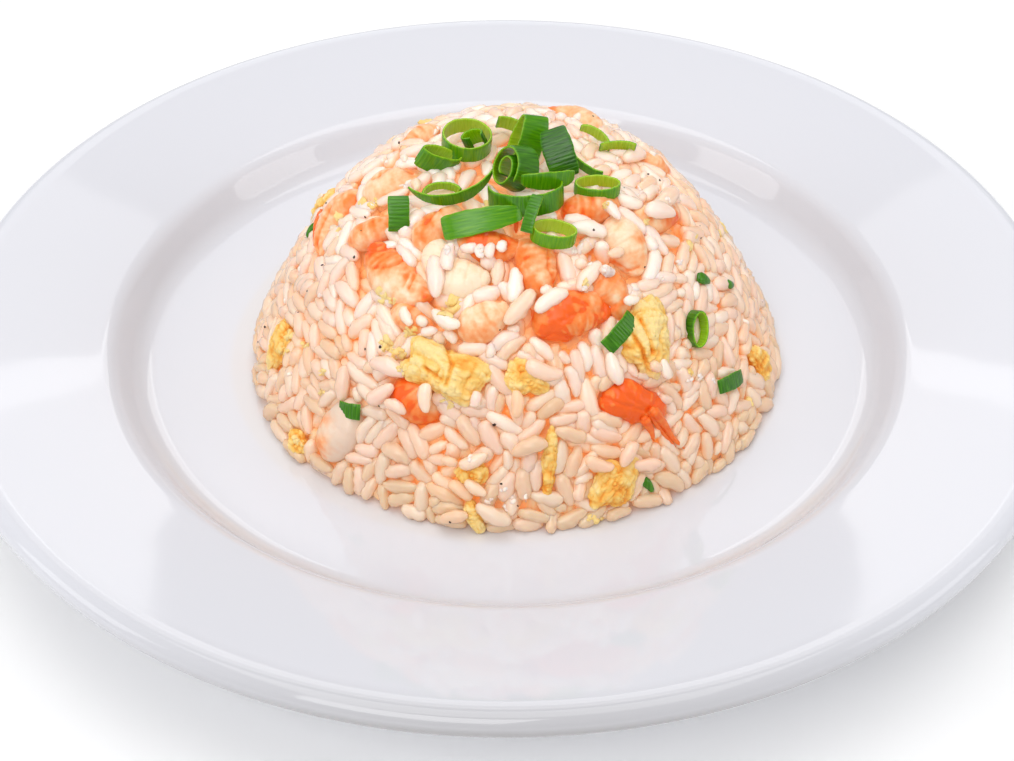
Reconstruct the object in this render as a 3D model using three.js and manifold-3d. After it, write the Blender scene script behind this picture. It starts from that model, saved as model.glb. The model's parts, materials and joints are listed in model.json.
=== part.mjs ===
// Shrimp and egg fried rice, turned out of a round mould onto a wide-rimmed soup plate,
// with a garnish of sliced scallion. Millimetres, +Z up, origin under the middle of the foot.

import * as THREE from 'three';
import { mergeVertices } from 'three/addons/utils/BufferGeometryUtils.js';
import { ConvexHull } from 'three/addons/math/ConvexHull.js';
import Module from 'manifold-3d';

const wasm = await Module();
wasm.setup();

// ---------------------------------------------------------------- driving dimensions

const gap = 0.3;

const plate = {
  radius: 135,
  height: 30,
  lipRadius: 3,
  rimInnerRadius: 97.5,
  rimInnerHeight: 19.3,
  wallAngle: 58,
  filletRadius: 6,
  wellRadius: 88.5,
  wellEdgeHeight: 9.8,
  flatRadius: 72,
  wellFloor: 8,
  wall: 5,
  footOuter: 81,
  footInner: 75,
  footHeight: 3,
  footBevel: 1.5,
  edgeRound: 2,
  facets: 44,
};

const dome = {
  centreX: 2,
  baseRadius: 68.3,
  height: 55.5,
  taper: 0.39,
  shoulder: 3,
  roundness: 4.7,
};

const grain = {
  length: 7.6,
  width: 3.1,
  count: 840,
  unevenness: 0.8,
  crease: 2.0,
};

// Depth of the bare core under the outline of the rice, where toppings are bedded in it.
const coreDepth = 4.6;
const coreSpacing = 9;

const leafWall = 0.7;

const colours = {
  porcelain: 0xededf0,
  rice: 0xf3e3d3,
  shrimp: 0xf3b48c,
  egg: 0xf6d67c,
  scallion: 0x55a31c,
};

// ---------------------------------------------------------------- seeded draws

function seededDraw(seed) {
  let state = seed;
  return function draw(low = 0, high = 1) {
    state = (state + 0x6d2b79f5) | 0;
    let mixed = Math.imul(state ^ (state >>> 15), 1 | state);
    mixed = (mixed + Math.imul(mixed ^ (mixed >>> 7), 61 | mixed)) ^ mixed;
    return low + (high - low) * (((mixed ^ (mixed >>> 14)) >>> 0) / 4294967296);
  };
}

const radians = THREE.MathUtils.degToRad;

// ---------------------------------------------------------------- the dome as a surface

// Radius of the dome at a rise from 0, at its base, to 1, at its crown.
function domeRadius(rise) {
  const shoulder = (1 - rise ** dome.shoulder) ** (1 / dome.roundness);
  return dome.baseRadius * (1 - dome.taper * rise) * shoulder;
}

// The dome's outline from the crown to the base, with the distance walked down it.
function walkMeridian(steps = 400) {
  const stations = [];
  let down = 0;
  for (let i = 0; i <= steps; i++) {
    const rise = 1 - (i / steps) ** 3;
    const radius = domeRadius(rise);
    const height = plate.wellFloor + dome.height * rise;
    const last = stations.at(-1);
    if (last) down += Math.hypot(radius - last.radius, height - last.height);
    stations.push({ down, radius, height });
  }
  return stations;
}

const meridian = walkMeridian();
const meridianLength = meridian.at(-1).down;

function stationAt(down) {
  let i = 1;
  while (i < meridian.length - 1 && meridian[i].down < down) i++;
  const a = meridian[i - 1];
  const b = meridian[i];
  const t = (down - a.down) / (b.down - a.down);
  return {
    radius: THREE.MathUtils.lerp(a.radius, b.radius, t),
    height: THREE.MathUtils.lerp(a.height, b.height, t),
    slope: Math.atan2(a.height - b.height, b.radius - a.radius),
  };
}

// Axes on the dome: x runs downhill, y round it to the right, z out of it. A bearing is
// counted from the front, and down is the distance from the crown, over the surface.
function domeFrame(bearing, down, lift = 0, turn = 0) {
  const { radius, height, slope } = stationAt(down);
  const b = radians(bearing);
  const outward = new THREE.Vector3(Math.sin(b), -Math.cos(b), 0);
  const downhill = outward.clone().multiplyScalar(Math.cos(slope));
  downhill.z = -Math.sin(slope);
  const across = new THREE.Vector3(Math.cos(b), Math.sin(b), 0);
  const normal = outward.clone().multiplyScalar(Math.sin(slope));
  normal.z = Math.cos(slope);
  const origin = outward.clone().multiplyScalar(radius);
  origin.x += dome.centreX;
  origin.z = height;
  origin.addScaledVector(normal, lift);
  const frame = new THREE.Matrix4().makeBasis(downhill, across, normal).setPosition(origin);
  return frame.multiply(new THREE.Matrix4().makeRotationZ(radians(turn)));
}

// ---------------------------------------------------------------- solids, joins and cuts

function toSolid(geometry) {
  const bare = geometry.clone();
  bare.deleteAttribute('normal');
  bare.deleteAttribute('uv');
  const merged = mergeVertices(bare, 1e-4);
  const vertProperties = new Float32Array(merged.attributes.position.array);
  const triVerts = new Uint32Array(merged.index.array);
  return new wasm.Manifold(new wasm.Mesh({ numProp: 3, vertProperties, triVerts }));
}

function toGeometry(solid) {
  const { vertProperties, triVerts } = solid.getMesh();
  const geometry = new THREE.BufferGeometry();
  geometry.setAttribute('position', new THREE.BufferAttribute(vertProperties, 3));
  geometry.setIndex(new THREE.BufferAttribute(triVerts, 1));
  return geometry;
}

// Of the bodies that a cut leaves, only the largest is kept.
function largestBody(solid) {
  const bodies = solid.decompose();
  return bodies.reduce((best, body) => (body.volume() > best.volume() ? body : best));
}

function reshape(geometry, place) {
  const position = geometry.attributes.position;
  const point = new THREE.Vector3();
  for (let i = 0; i < position.count; i++) {
    point.fromBufferAttribute(position, i);
    const moved = place(point);
    position.setXYZ(i, moved.x, moved.y, moved.z);
  }
  return geometry;
}

function newMesh(name, geometry, color, roughness) {
  const material = new THREE.MeshStandardMaterial({ color, roughness, metalness: 0 });
  const mesh = new THREE.Mesh(geometry, material);
  mesh.name = name;
  return mesh;
}

// ---------------------------------------------------------------- the plate

// A turned profile: underside, foot ring with a flat tread, round lip, sloping rim, and the
// steep wall, fillet, slightly dished edge and flat floor of the well.
function makePlate() {
  const { radius, height, lipRadius, rimInnerRadius, rimInnerHeight, wall } = plate;
  const { wallAngle, filletRadius, wellRadius, wellEdgeHeight, flatRadius, wellFloor } = plate;
  const { footOuter, footInner, footHeight, footBevel, edgeRound } = plate;
  const points = [];
  const add = (r, z) => points.push(new THREE.Vector2(r, z));
  const lipR = radius - lipRadius;
  const lipZ = height - lipRadius;

  add(0, footHeight);
  add(footInner - edgeRound, footHeight);
  add(footInner, 0);
  add(footOuter - footBevel, 0);
  add(footOuter, footBevel);
  add(footOuter + footBevel, footHeight + 0.5);
  add(rimInnerRadius - wall, footHeight + wall / 2);
  add(rimInnerRadius + wall / 2, rimInnerHeight - wall);
  add(lipR - 2, lipZ - lipRadius + 0.4);
  for (const angle of [-50, 0, 45, 90, 106]) {
    const a = radians(angle);
    add(lipR + lipRadius * Math.cos(a), lipZ + lipRadius * Math.sin(a));
  }
  add(rimInnerRadius + edgeRound, rimInnerHeight + 0.8);
  add(rimInnerRadius, rimInnerHeight - 0.3);
  for (const share of [1, 0.55, 0.1]) {
    const a = radians(wallAngle * share);
    const rise = filletRadius * (1 - Math.cos(a));
    add(wellRadius + filletRadius * Math.sin(a), wellEdgeHeight + rise);
  }
  add(flatRadius, wellFloor);
  add(0, wellFloor);

  const lathe = new THREE.LatheGeometry(points, plate.facets);
  return reshape(lathe, (p) => new THREE.Vector3(p.x, -p.z, p.y));
}

// ---------------------------------------------------------------- shrimp

// A peeled shrimp is a tapered body bent along an arc, ringed by its segments, and thin at
// the tail. The list gives where the middle of each lies on the dome and which way it runs.
const shrimps = [
  { bearing: -84, down: 30, turn: 170, length: 15, girth: 11.5, curl: 60, sink: 2.4 },
  { bearing: -84, down: 48, turn: 20, length: 20, girth: 10.5, curl: 120, sink: 1.8 },
  { bearing: -64.5, down: 39.5, turn: 150, length: 13, girth: 8.6, curl: 50, sink: 1.6 },
  { bearing: -42, down: 43, turn: 80, length: 22, girth: 11, curl: 70, sink: 1.8 },
  { bearing: -40, down: 28.5, turn: 165, length: 13.5, girth: 9.4, curl: 60, sink: 1.6 },
  { bearing: -19, down: 38.5, turn: 100, length: 12.5, girth: 10.4, curl: 40, sink: 1.8 },
  { bearing: -9.5, down: 47.5, turn: 125, length: 13, girth: 10.4, curl: 30, sink: 1.8 },
  { bearing: 9, down: 35.5, turn: 8, length: 14, girth: 10.6, curl: 50, sink: 2.0 },
  { bearing: 17.5, down: 48.5, turn: 96, length: 18, girth: 12, curl: -110, sink: 1.8 },
  { bearing: 30.5, down: 45, turn: 10, length: 14, girth: 8, curl: -50, sink: 1.2 },
  { bearing: 45, down: 36.5, turn: -5, length: 14.5, girth: 11.5, curl: -60, sink: 2.2 },
  { bearing: 71, down: 36.5, turn: 60, length: 17, girth: 8, curl: 60, sink: 1.4 },
  { bearing: 47, down: 24, turn: 62, length: 15, girth: 8.6, curl: 50, sink: 1.4 },
  { bearing: 28, down: 71, turn: 62, length: 17, girth: 10.2, curl: -70, sink: 1.4 },
  { bearing: -41.5, down: 82, turn: 165, length: 17, girth: 12, curl: 40, sink: 1.8 },
  { bearing: -24, down: 68, turn: 60, length: 13, girth: 11, curl: 60, sink: 2.2 },
  { bearing: 149, down: 29, turn: 80, length: 17, girth: 7, curl: 50, sink: 1.2 },
  { bearing: 106, down: 37, turn: 0, length: 11, girth: 6, curl: 60, sink: 1.2 },
  { bearing: -122, down: 28, turn: 70, length: 12, girth: 6.4, curl: 50, sink: 1.4 },
  { bearing: -12, down: 29.5, turn: 92, length: 16, girth: 8, curl: 40, sink: 1.6 },
  { bearing: -29.5, down: 36.5, turn: 28, length: 11, girth: 8, curl: 30, sink: 1.6 },
  { bearing: -31, down: 50.5, turn: 80, length: 11, girth: 7, curl: 40, sink: 1.6 },
];

// Girth along the body, as a share of the thickest part, from the cut end to the tail.
function shrimpGirth(u) {
  const ends = Math.sin(Math.PI * u) ** 0.45;
  const taper = 1 - 0.42 * u * u;
  const segments = 1 + 0.07 * Math.cos(2 * Math.PI * 5 * u);
  return ends * taper * segments;
}

function shrimpSpine({ length, curl }, u) {
  const bend = radians(curl);
  const radius = length / bend;
  const a = bend * (u - 0.5);
  return {
    x: radius * Math.sin(a),
    y: radius * (1 - Math.cos(a)) - radius * (1 - Math.cos(bend / 2)) / 2,
    heading: a,
  };
}

function makeShrimp(item, clearance) {
  const frame = domeFrame(item.bearing, item.down, -item.sink, item.turn);
  const ball = new THREE.SphereGeometry(1, 7, 8);
  return reshape(ball, (p) => {
    const u = Math.acos(THREE.MathUtils.clamp(p.y, -1, 1)) / Math.PI;
    const ring = Math.hypot(p.x, p.z);
    const side = ring > 1e-6 ? p.x / ring : 0;
    const top = ring > 1e-6 ? p.z / ring : 0;
    const spine = shrimpSpine(item, u);
    const half = ring > 1e-6 ? (item.girth / 2) * shrimpGirth(u) + clearance : 0;
    const push = clearance * Math.cos(Math.PI * (1 - u));
    const x = spine.x - Math.sin(spine.heading) * side * half + push * Math.cos(spine.heading);
    const y = spine.y + Math.cos(spine.heading) * side * half + push * Math.sin(spine.heading);
    return new THREE.Vector3(x, y, top * half * 0.86).applyMatrix4(frame);
  });
}

function shrimpCover(item) {
  const frame = domeFrame(item.bearing, item.down, -item.sink, item.turn);
  return [0.08, 0.3, 0.5, 0.7, 0.9].map((u) => {
    const spine = shrimpSpine(item, u);
    const centre = new THREE.Vector3(spine.x, spine.y, 0).applyMatrix4(frame);
    return { centre, reach: (item.girth / 2) * shrimpGirth(u) + 0.5 };
  });
}

// ---------------------------------------------------------------- egg

// A curd of scrambled egg is a flattened lump with a few seeded folds.
const eggs = [
  { bearing: -18, down: 60, turn: 80, length: 21, width: 12, height: 7, folds: 4, sink: 0.6 },
  { bearing: 36.5, down: 57, turn: -20, length: 18, width: 13, height: 7, folds: 3, sink: 0.6 },
  { bearing: 2, down: 60, turn: 60, length: 10, width: 7.5, height: 5, folds: 3, sink: 0.8 },
  { bearing: -71, down: 79, turn: 12, length: 13, width: 8.5, height: 5, folds: 3, sink: 1.0 },
  { bearing: -51, down: 91.5, turn: 80, length: 7, width: 5, height: 4, folds: 2, sink: 0.4 },
  { bearing: -9, down: 82, turn: 88, length: 9, width: 5, height: 4, folds: 2, sink: 0.6 },
  { bearing: -8, down: 91.5, turn: 12, length: 7.5, width: 4, height: 4, folds: 2, sink: 0.0 },
  { bearing: 7, down: 79.5, turn: -8, length: 15, width: 4, height: 4.4, folds: 2, sink: 0.8 },
  { bearing: 20, down: 86.5, turn: 130, length: 13, width: 10, height: 6, folds: 4, sink: 0.4 },
  { bearing: 71, down: 84, turn: 12, length: 11, width: 7, height: 5, folds: 3, sink: 0.6 },
  { bearing: 140, down: 58, turn: 40, length: 15, width: 10, height: 6, folds: 3, sink: 0.8 },
  { bearing: -168, down: 80, turn: 80, length: 14, width: 9, height: 5.5, folds: 3, sink: 0.8 },
  { bearing: -112, down: 62, turn: 20, length: 12, width: 8, height: 5, folds: 3, sink: 0.8 },
];

function makeEgg(item, index, clearance) {
  const frame = domeFrame(item.bearing, item.down, -item.sink, item.turn);
  const draw = seededDraw(500 + index);
  const phase = draw(0, 6.28);
  const slant = draw(-0.6, 0.6);
  const ball = new THREE.IcosahedronGeometry(1, 1);
  return reshape(ball, (p) => {
    const around = Math.atan2(p.y, p.x);
    const edge = Math.hypot(p.x, p.y);
    const lobes = 1 + 0.16 * edge * Math.sin(item.folds * around + phase);
    const ruffle = 1 + 0.22 * Math.sin(2.4 * item.folds * (p.x + slant * p.y) + phase);
    return new THREE.Vector3(
      p.x * lobes * (item.length / 2 + clearance),
      p.y * lobes * (item.width / 2 + clearance),
      p.z * ruffle * (item.height / 2 + clearance),
    ).applyMatrix4(frame);
  });
}

function eggCover(item) {
  const frame = domeFrame(item.bearing, item.down, -item.sink, item.turn);
  const reach = item.width / 2;
  const half = Math.max(item.length / 2 - reach, 0);
  return [-1, 0, 1].map((side) => {
    const centre = new THREE.Vector3(side * half, 0, 0).applyMatrix4(frame);
    return { centre, reach: reach + 0.5 };
  });
}

// ---------------------------------------------------------------- scallion

// Every piece is a band cut across a hollow leaf: it runs round an ellipse of half axes
// a (along) and b, from one angle to another, and is as wide as the slice, along the axis.
// Shrink draws the far end in to a curl, lean opens it to a cone and taper points its ends.
const scallions = [
  {
    name: 'scallion_curl', at: [-9.4, 3.4, 66.4], axis: [0.08, -0.12, 1], along: [1, 0, -0.1],
    a: 5.6, b: 5.5, width: 4.1, from: 0, to: 360,
  },
  {
    name: 'scallion_inner_curl', at: [-8, 2.2, 66.8], axis: [-0.35, -0.1, 0.9], along: [1, 0, 0.2],
    a: 3.1, b: 2.2, width: 4.2, from: -30, to: 270, shrink: 0.5,
  },
  {
    name: 'scallion_fold', at: [-16, -2.6, 64.8], axis: [0.45, -0.2, 0.85], along: [0.9, 0.2, -0.4],
    a: 4.8, b: 1.7, width: 5.6, from: -170, to: 160,
  },
  {
    name: 'scallion_hook', at: [-13.4, -7.4, 66.9], axis: [-0.16, -0.2, 0.96], along: [1, 0.08, 0.3],
    a: 10.8, b: 11.5, width: 3.4, from: 206, to: 334, taper: 0.8,
  },
  {
    name: 'scallion_leaf', at: [-5.4, -25.4, 63.5], axis: [-0.2, 0.62, 0.74], along: [0.97, 0.16, 0.18],
    a: 8.8, b: 2.4, width: 5.8, from: 140, to: 348, taper: 0.55,
  },
  {
    name: 'scallion_cone', at: [1.2, -11.6, 68], axis: [-0.55, -0.62, 0.56], along: [0.2, 0.4, 0.9],
    a: 6, b: 4.4, width: 7, from: -115, to: 500, shrink: 0.62, lean: -0.16,
  },
  {
    name: 'scallion_loop', at: [4.1, 1.4, 66.1], axis: [-0.8, -0.27, 0.37], along: [0.06, 0.13, 1],
    a: 7.4, b: 2.6, width: 6.2, from: 0, to: 360, lean: -0.1,
  },
  {
    name: 'scallion_bowl', at: [4.2, -18.2, 65.8], axis: [-0.05, 0.12, 0.98], along: [1, 0, -0.05],
    a: 8.2, b: 6, width: 5.2, from: 184, to: 365,
  },
  {
    name: 'scallion_point', at: [9, -15.6, 68.9], axis: [0.05, 0.1, 0.98], along: [1, 0.3, 0.05],
    a: 6.2, b: 2.4, width: 4.4, from: 190, to: 345, taper: 0.5,
  },
  {
    name: 'scallion_blade', at: [12.1, -4.2, 67.6], axis: [0.95, 0.1, 0.3], along: [0.4, -0.6, -0.7],
    a: 5.8, b: 2.4, width: 7.2, from: 195, to: 345, taper: 0.2,
  },
  {
    name: 'scallion_back', at: [1, 9.4, 66], axis: [0.2, -0.3, 0.9], along: [1, -0.3, 0.1],
    a: 3.6, b: 1.2, width: 4.2, from: 15, to: 165,
  },
  {
    name: 'scallion_sliver', at: [5.6, -27.6, 66.8], axis: [0.9, -0.4, 0], along: [0.55, 0.6, 0.72],
    a: 4.4, b: 1.2, width: 2.8, from: 20, to: 160,
  },
  {
    name: 'scallion_arc', at: [-14.6, -16, 63.9], axis: [0.1, -0.25, 0.95], along: [1, 0.2, -0.05],
    a: 4.4, b: 3, width: 2.4, from: 15, to: 175,
  },
  {
    name: 'scallion_ring', at: [10.2, -29.2, 62.7], axis: [0.16, 0, 0.97], along: [1, 0.05, -0.2],
    a: 4.8, b: 3.2, width: 3.4, from: 0, to: 360,
  },
  {
    name: 'scallion_ring_right', at: [20.4, -13.6, 64.4], axis: [0.05, 0, 1], along: [1, 0.1, -0.02],
    a: 5, b: 3, width: 3, from: 0, to: 360,
  },
  {
    name: 'scallion_strip', at: [18.8, -4.6, 65], axis: [0.1, -0.2, 0.93], along: [0.75, -0.65, 0],
    a: 4.6, b: 1.6, width: 2.4, from: 195, to: 345,
  },
  {
    name: 'scallion_crescent', at: [20.6, 7.6, 64], axis: [0.15, -0.35, 0.88], along: [0.75, -0.62, 0.1],
    a: 4.3, b: 1.9, width: 3.4, from: 10, to: 170, taper: 0.4,
  },
  {
    name: 'scallion_band', at: [26, 3.2, 64], axis: [0.05, -0.4, 0.85], along: [1, 0.05, 0],
    a: 4.3, b: 1.2, width: 3.4, from: 15, to: 165,
  },
  {
    name: 'scallion_stand', at: [-24.4, -18.8, 60.9], axis: [1, 0.1, -0.05], along: [0.1, 0.6, 0.8],
    a: 3.9, b: 1.3, width: 4.8, from: 15, to: 165,
  },
  {
    name: 'scallion_ring_side', at: [43.2, -32.4, 38.6], axis: [0.5, -0.72, 0.47], along: [0.05, 0.5, 0.86],
    a: 4, b: 2.1, width: 3.4, from: 0, to: 360,
  },
  {
    name: 'scallion_left', bearing: -39, down: 76, lift: 0.2, turn: 106,
    a: 3, b: 1, width: 3.6, from: 15, to: 165,
  },
  {
    name: 'scallion_middle', bearing: 28.5, down: 53.5, lift: 0.6, turn: 119,
    a: 4.9, b: 1.2, width: 4, from: 15, to: 165,
  },
  {
    name: 'scallion_right', bearing: 55.5, down: 78, lift: 0.2, turn: 74,
    a: 5, b: 1.2, width: 3.8, from: 15, to: 165, taper: 0.2,
  },
];

// A slice is set by the axis of its leaf, or lies with its outer face out of the dome.
function bandFrame({ at, axis, along, bearing, down, lift, turn }) {
  if (bearing !== undefined) {
    const flat = new THREE.Matrix4().makeRotationX(Math.PI / 2);
    return domeFrame(bearing, down, lift, turn).multiply(flat);
  }
  const up = new THREE.Vector3(...axis).normalize();
  const run = new THREE.Vector3(...along);
  run.addScaledVector(up, -run.dot(up)).normalize();
  const side = new THREE.Vector3().crossVectors(up, run);
  return new THREE.Matrix4().makeBasis(run, side, up).setPosition(...at);
}

// A point of the band: u runs from end to end, v over its width and w through its wall.
function bandPoint(item, frame, u, v, w, clearance) {
  const { a, b, width, from, to, shrink = 0, lean = 0, taper = 0 } = item;
  const angle = radians(from + (to - from) * u);
  const drawIn = 1 - shrink * u;
  const point = 1 - taper * Math.abs(2 * u - 1) ** 2;
  const rise = v * (width * point + 2 * clearance);
  const wallShift = w * (leafWall + 2 * clearance) + lean * rise;
  const x = a * drawIn * Math.cos(angle);
  const y = b * drawIn * Math.sin(angle);
  const nx = Math.cos(angle) / a;
  const ny = Math.sin(angle) / b;
  const n = Math.hypot(nx, ny);
  const moved = new THREE.Vector3(x + (wallShift * nx) / n, y + (wallShift * ny) / n, rise);
  return moved.applyMatrix4(frame);
}

function makeScallion(item, clearance) {
  const frame = bandFrame(item);
  if (item.to - item.from === 360) {
    const profile = [[-1, -1], [1, -1], [1, 1], [-1, 1], [-1, -1]];
    const outline = profile.map(([w, v]) => new THREE.Vector2(3 + w / 2, v / 2));
    const ring = new THREE.LatheGeometry(outline, 14);
    return reshape(ring, (p) => {
      const u = Math.atan2(p.x, p.z) / (2 * Math.PI);
      return bandPoint(item, frame, u, p.y, Math.hypot(p.x, p.z) - 3, clearance);
    });
  }
  const steps = Math.max(6, Math.round((item.to - item.from) / 28));
  const strip = new THREE.BoxGeometry(1, 1, 1, steps, 1, 1);
  return reshape(strip, (p) => bandPoint(item, frame, p.x + 0.5, p.y, p.z, clearance));
}

// ---------------------------------------------------------------- the heap of rice

// Points are set out over the dome at equal shares of its area, on a golden-angle spiral.
function spread(count, draw, jitter) {
  const share = [0];
  for (let i = 1; i < meridian.length; i++) {
    const a = meridian[i - 1];
    const b = meridian[i];
    share.push(share[i - 1] + (b.down - a.down) * (a.radius + b.radius));
  }
  const golden = 180 * (3 - Math.sqrt(5));
  const spots = [];
  let row = 1;
  for (let k = 0; k < count; k++) {
    const target = (share.at(-1) * (k + 0.5)) / count;
    while (share[row] < target) row++;
    const down = meridian[row].down + draw(-jitter, jitter);
    const turnPerMm = THREE.MathUtils.radToDeg(1 / Math.max(meridian[row].radius, 4));
    const bearing = k * golden + draw(-jitter, jitter) * turnPerMm;
    spots.push({ bearing, down: THREE.MathUtils.clamp(down, 0.5, meridianLength - 2) });
  }
  return spots;
}

function distanceToSegment(point, start, end) {
  const run = end.clone().sub(start);
  const t = THREE.MathUtils.clamp(point.clone().sub(start).dot(run) / run.lengthSq(), 0, 1);
  return point.distanceTo(start.clone().addScaledVector(run, t));
}

// Each grain that shows is a ridge between two high points, with creases set low round it.
// The points are joined over the dome as seen from its middle, so the skin never crosses.
function riceSkin(covers) {
  const draw = seededDraw(41);
  const floor = plate.wellFloor + gap;
  const covered = (p) => covers.some(({ centre, reach }) => p.distanceTo(centre) < reach);
  const points = [];
  const ridges = [];
  const keep = (p) => {
    if (p.z > floor + 0.9) points.push(p);
  };

  for (const spot of spread(grain.count, draw, 1.4)) {
    const lift = draw(-grain.unevenness, grain.unevenness);
    const frame = domeFrame(spot.bearing, spot.down, lift, draw(0, 180));
    const half = (grain.length - grain.width) / 2;
    const ends = [-half, half].map((x) => new THREE.Vector3(x, 0, 0).applyMatrix4(frame));
    if (ends.some(covered)) continue;
    if (ridges.some((r) => distanceToSegment(r.middle, ...ends) < grain.width * 0.8)) continue;
    const middle = ends[0].clone().lerp(ends[1], 0.5);
    ridges.push({ ends, middle, frame });
    ends.forEach(keep);
  }

  const creases = [];
  for (const ridge of ridges) {
    const side = grain.width * 0.62;
    const tip = grain.length * 0.55;
    for (const [x, y] of [[0, side], [0, -side], [tip, 0], [-tip, 0]]) {
      const p = new THREE.Vector3(x, y, -grain.crease).applyMatrix4(ridge.frame);
      const near = new THREE.Vector3(x, y, 0).applyMatrix4(ridge.frame);
      if (covered(p) || creases.some((c) => c.distanceTo(p) < 2.4)) continue;
      const crossed = (r) => r !== ridge && distanceToSegment(near, ...r.ends) < 1.5;
      if (ridges.some(crossed)) continue;
      creases.push(p);
      keep(p);
    }
  }

  const coreCount = Math.round(23900 / coreSpacing ** 2);
  for (const spot of spread(coreCount, draw, 0)) {
    const surface = new THREE.Vector3().setFromMatrixPosition(domeFrame(spot.bearing, spot.down));
    if (covered(surface)) {
      keep(new THREE.Vector3(0, 0, -coreDepth).applyMatrix4(domeFrame(spot.bearing, spot.down)));
    }
  }

  for (let i = 0; i < 48; i++) {
    const a = (2 * Math.PI * i) / 48;
    const radius = dome.baseRadius - 2.2 + draw(-0.8, 0.8);
    const x = dome.centreX + radius * Math.cos(a);
    points.push(new THREE.Vector3(x, radius * Math.sin(a), floor));
  }
  points.push(new THREE.Vector3(dome.centreX, 0, floor));
  return points;
}

// The skin's points, joined as the hull of their directions from the middle of the dome.
function joinSkin(points, growth) {
  const middle = new THREE.Vector3(dome.centreX, 0, plate.wellFloor + dome.height * 0.36);
  const directions = points.map((p) => p.clone().sub(middle).normalize().multiplyScalar(100));
  const indexOf = new Map(directions.map((direction, i) => [direction, i]));
  const hull = new ConvexHull().setFromPoints(directions);
  const index = [];
  for (const face of hull.faces) {
    let edge = face.edge;
    do {
      index.push(indexOf.get(edge.head().point));
      edge = edge.next;
    } while (edge !== face.edge);
  }
  const grown = points.map((p) => {
    const outward = p.clone().sub(middle).normalize();
    return p.clone().addScaledVector(outward, growth);
  });
  const geometry = new THREE.BufferGeometry().setFromPoints(grown);
  geometry.setIndex(index);
  return geometry;
}

// Small flecks of scallion are part of the rice that they are pressed into.
const flecks = [
  { bearing: -94, down: 58.5, turn: 30, length: 4, width: 2.4 },
  { bearing: 65, down: 55, turn: 43, length: 5.5, width: 2.6 },
  { bearing: 75, down: 63, turn: 31, length: 4.6, width: 2.2 },
  { bearing: 27, down: 89, turn: 26, length: 4.6, width: 2.4 },
];

function makeFleck({ bearing, down, turn, length, width }, clearance) {
  const frame = domeFrame(bearing, down, -1.2, turn);
  const wedge = new THREE.IcosahedronGeometry(1, 0);
  wedge.scale(length / 2 + clearance, width / 2 + clearance, 2.6 + clearance);
  return wedge.applyMatrix4(frame);
}

function makeHeap(skin, growth) {
  const fleckSolids = flecks.map((fleck) => toSolid(makeFleck(fleck, growth)));
  return fleckSolids.reduce((solid, fleck) => solid.add(fleck), toSolid(joinSkin(skin, growth)));
}

// ---------------------------------------------------------------- assembly

const group = new THREE.Group();
group.add(newMesh('plate', makePlate(), colours.porcelain, 0.12));

const covers = [...shrimps.flatMap(shrimpCover), ...eggs.flatMap(eggCover)];
const skin = riceSkin(covers);
group.add(newMesh('rice_heap', toGeometry(makeHeap(skin, 0)), colours.rice, 0.55));

// Toppings are fitted to the rice and to one another in turn, a hair's gap apart.
const occupied = [makeHeap(skin, 0.5)];

function bed(name, make, color, roughness) {
  let solid = toSolid(make(0));
  for (const other of occupied) solid = solid.subtract(other);
  solid = largestBody(solid);
  occupied.push(toSolid(make(gap)));
  group.add(newMesh(name, toGeometry(solid), color, roughness));
}

shrimps.forEach((item, i) => {
  const name = `shrimp_${String(i + 1).padStart(2, '0')}`;
  bed(name, (clearance) => makeShrimp(item, clearance), colours.shrimp, 0.4);
});

eggs.forEach((item, i) => {
  const name = `egg_${String(i + 1).padStart(2, '0')}`;
  bed(name, (clearance) => makeEgg(item, i, clearance), colours.egg, 0.5);
});

for (const item of scallions) {
  bed(item.name, (clearance) => makeScallion(item, clearance), colours.scallion, 0.4);
}

export default group;
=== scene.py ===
"""Shrimp and egg fried rice on its plate: the finish of every piece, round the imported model.

The file is laid out as a Blender add-on and is run as a script. Shapes are worked out in
millimetres and put into the meshes in metres.
"""

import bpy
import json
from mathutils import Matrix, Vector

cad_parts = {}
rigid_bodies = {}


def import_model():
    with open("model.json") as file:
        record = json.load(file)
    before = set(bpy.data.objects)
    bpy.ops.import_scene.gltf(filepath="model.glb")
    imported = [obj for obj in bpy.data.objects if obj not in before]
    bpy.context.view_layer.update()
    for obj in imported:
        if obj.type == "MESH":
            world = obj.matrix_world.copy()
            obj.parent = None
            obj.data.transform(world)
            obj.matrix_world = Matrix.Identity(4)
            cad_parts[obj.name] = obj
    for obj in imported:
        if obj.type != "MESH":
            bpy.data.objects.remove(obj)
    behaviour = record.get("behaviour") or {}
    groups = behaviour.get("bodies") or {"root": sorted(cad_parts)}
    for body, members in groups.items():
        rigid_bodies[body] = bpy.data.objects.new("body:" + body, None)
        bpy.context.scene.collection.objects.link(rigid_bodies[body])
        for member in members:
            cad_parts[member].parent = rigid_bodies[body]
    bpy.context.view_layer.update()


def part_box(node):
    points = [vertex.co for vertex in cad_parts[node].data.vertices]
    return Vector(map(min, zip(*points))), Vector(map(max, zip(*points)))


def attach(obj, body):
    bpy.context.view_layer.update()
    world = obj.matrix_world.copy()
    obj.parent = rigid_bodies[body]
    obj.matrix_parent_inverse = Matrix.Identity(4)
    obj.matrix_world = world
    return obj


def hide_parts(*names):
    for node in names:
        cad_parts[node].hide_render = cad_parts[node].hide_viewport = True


bl_info = {
    "name": "Fried Rice on a Soup Plate",
    "version": (1, 0, 0),
    "blender": (4, 5, 0),
    "location": "3D View > Sidebar > Fried Rice",
    "description": "A moulded dome of shrimp and egg fried rice with scallion, on a glazed plate",
    "category": "Add Mesh",
}

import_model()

import itertools
import json
import math
from typing import NamedTuple

import bpy
import numpy as np
from bpy.props import FloatProperty, FloatVectorProperty, IntProperty, PointerProperty
from bpy.types import Operator, Panel, PropertyGroup
from mathutils import Vector
from mathutils.bvhtree import BVHTree

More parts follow.
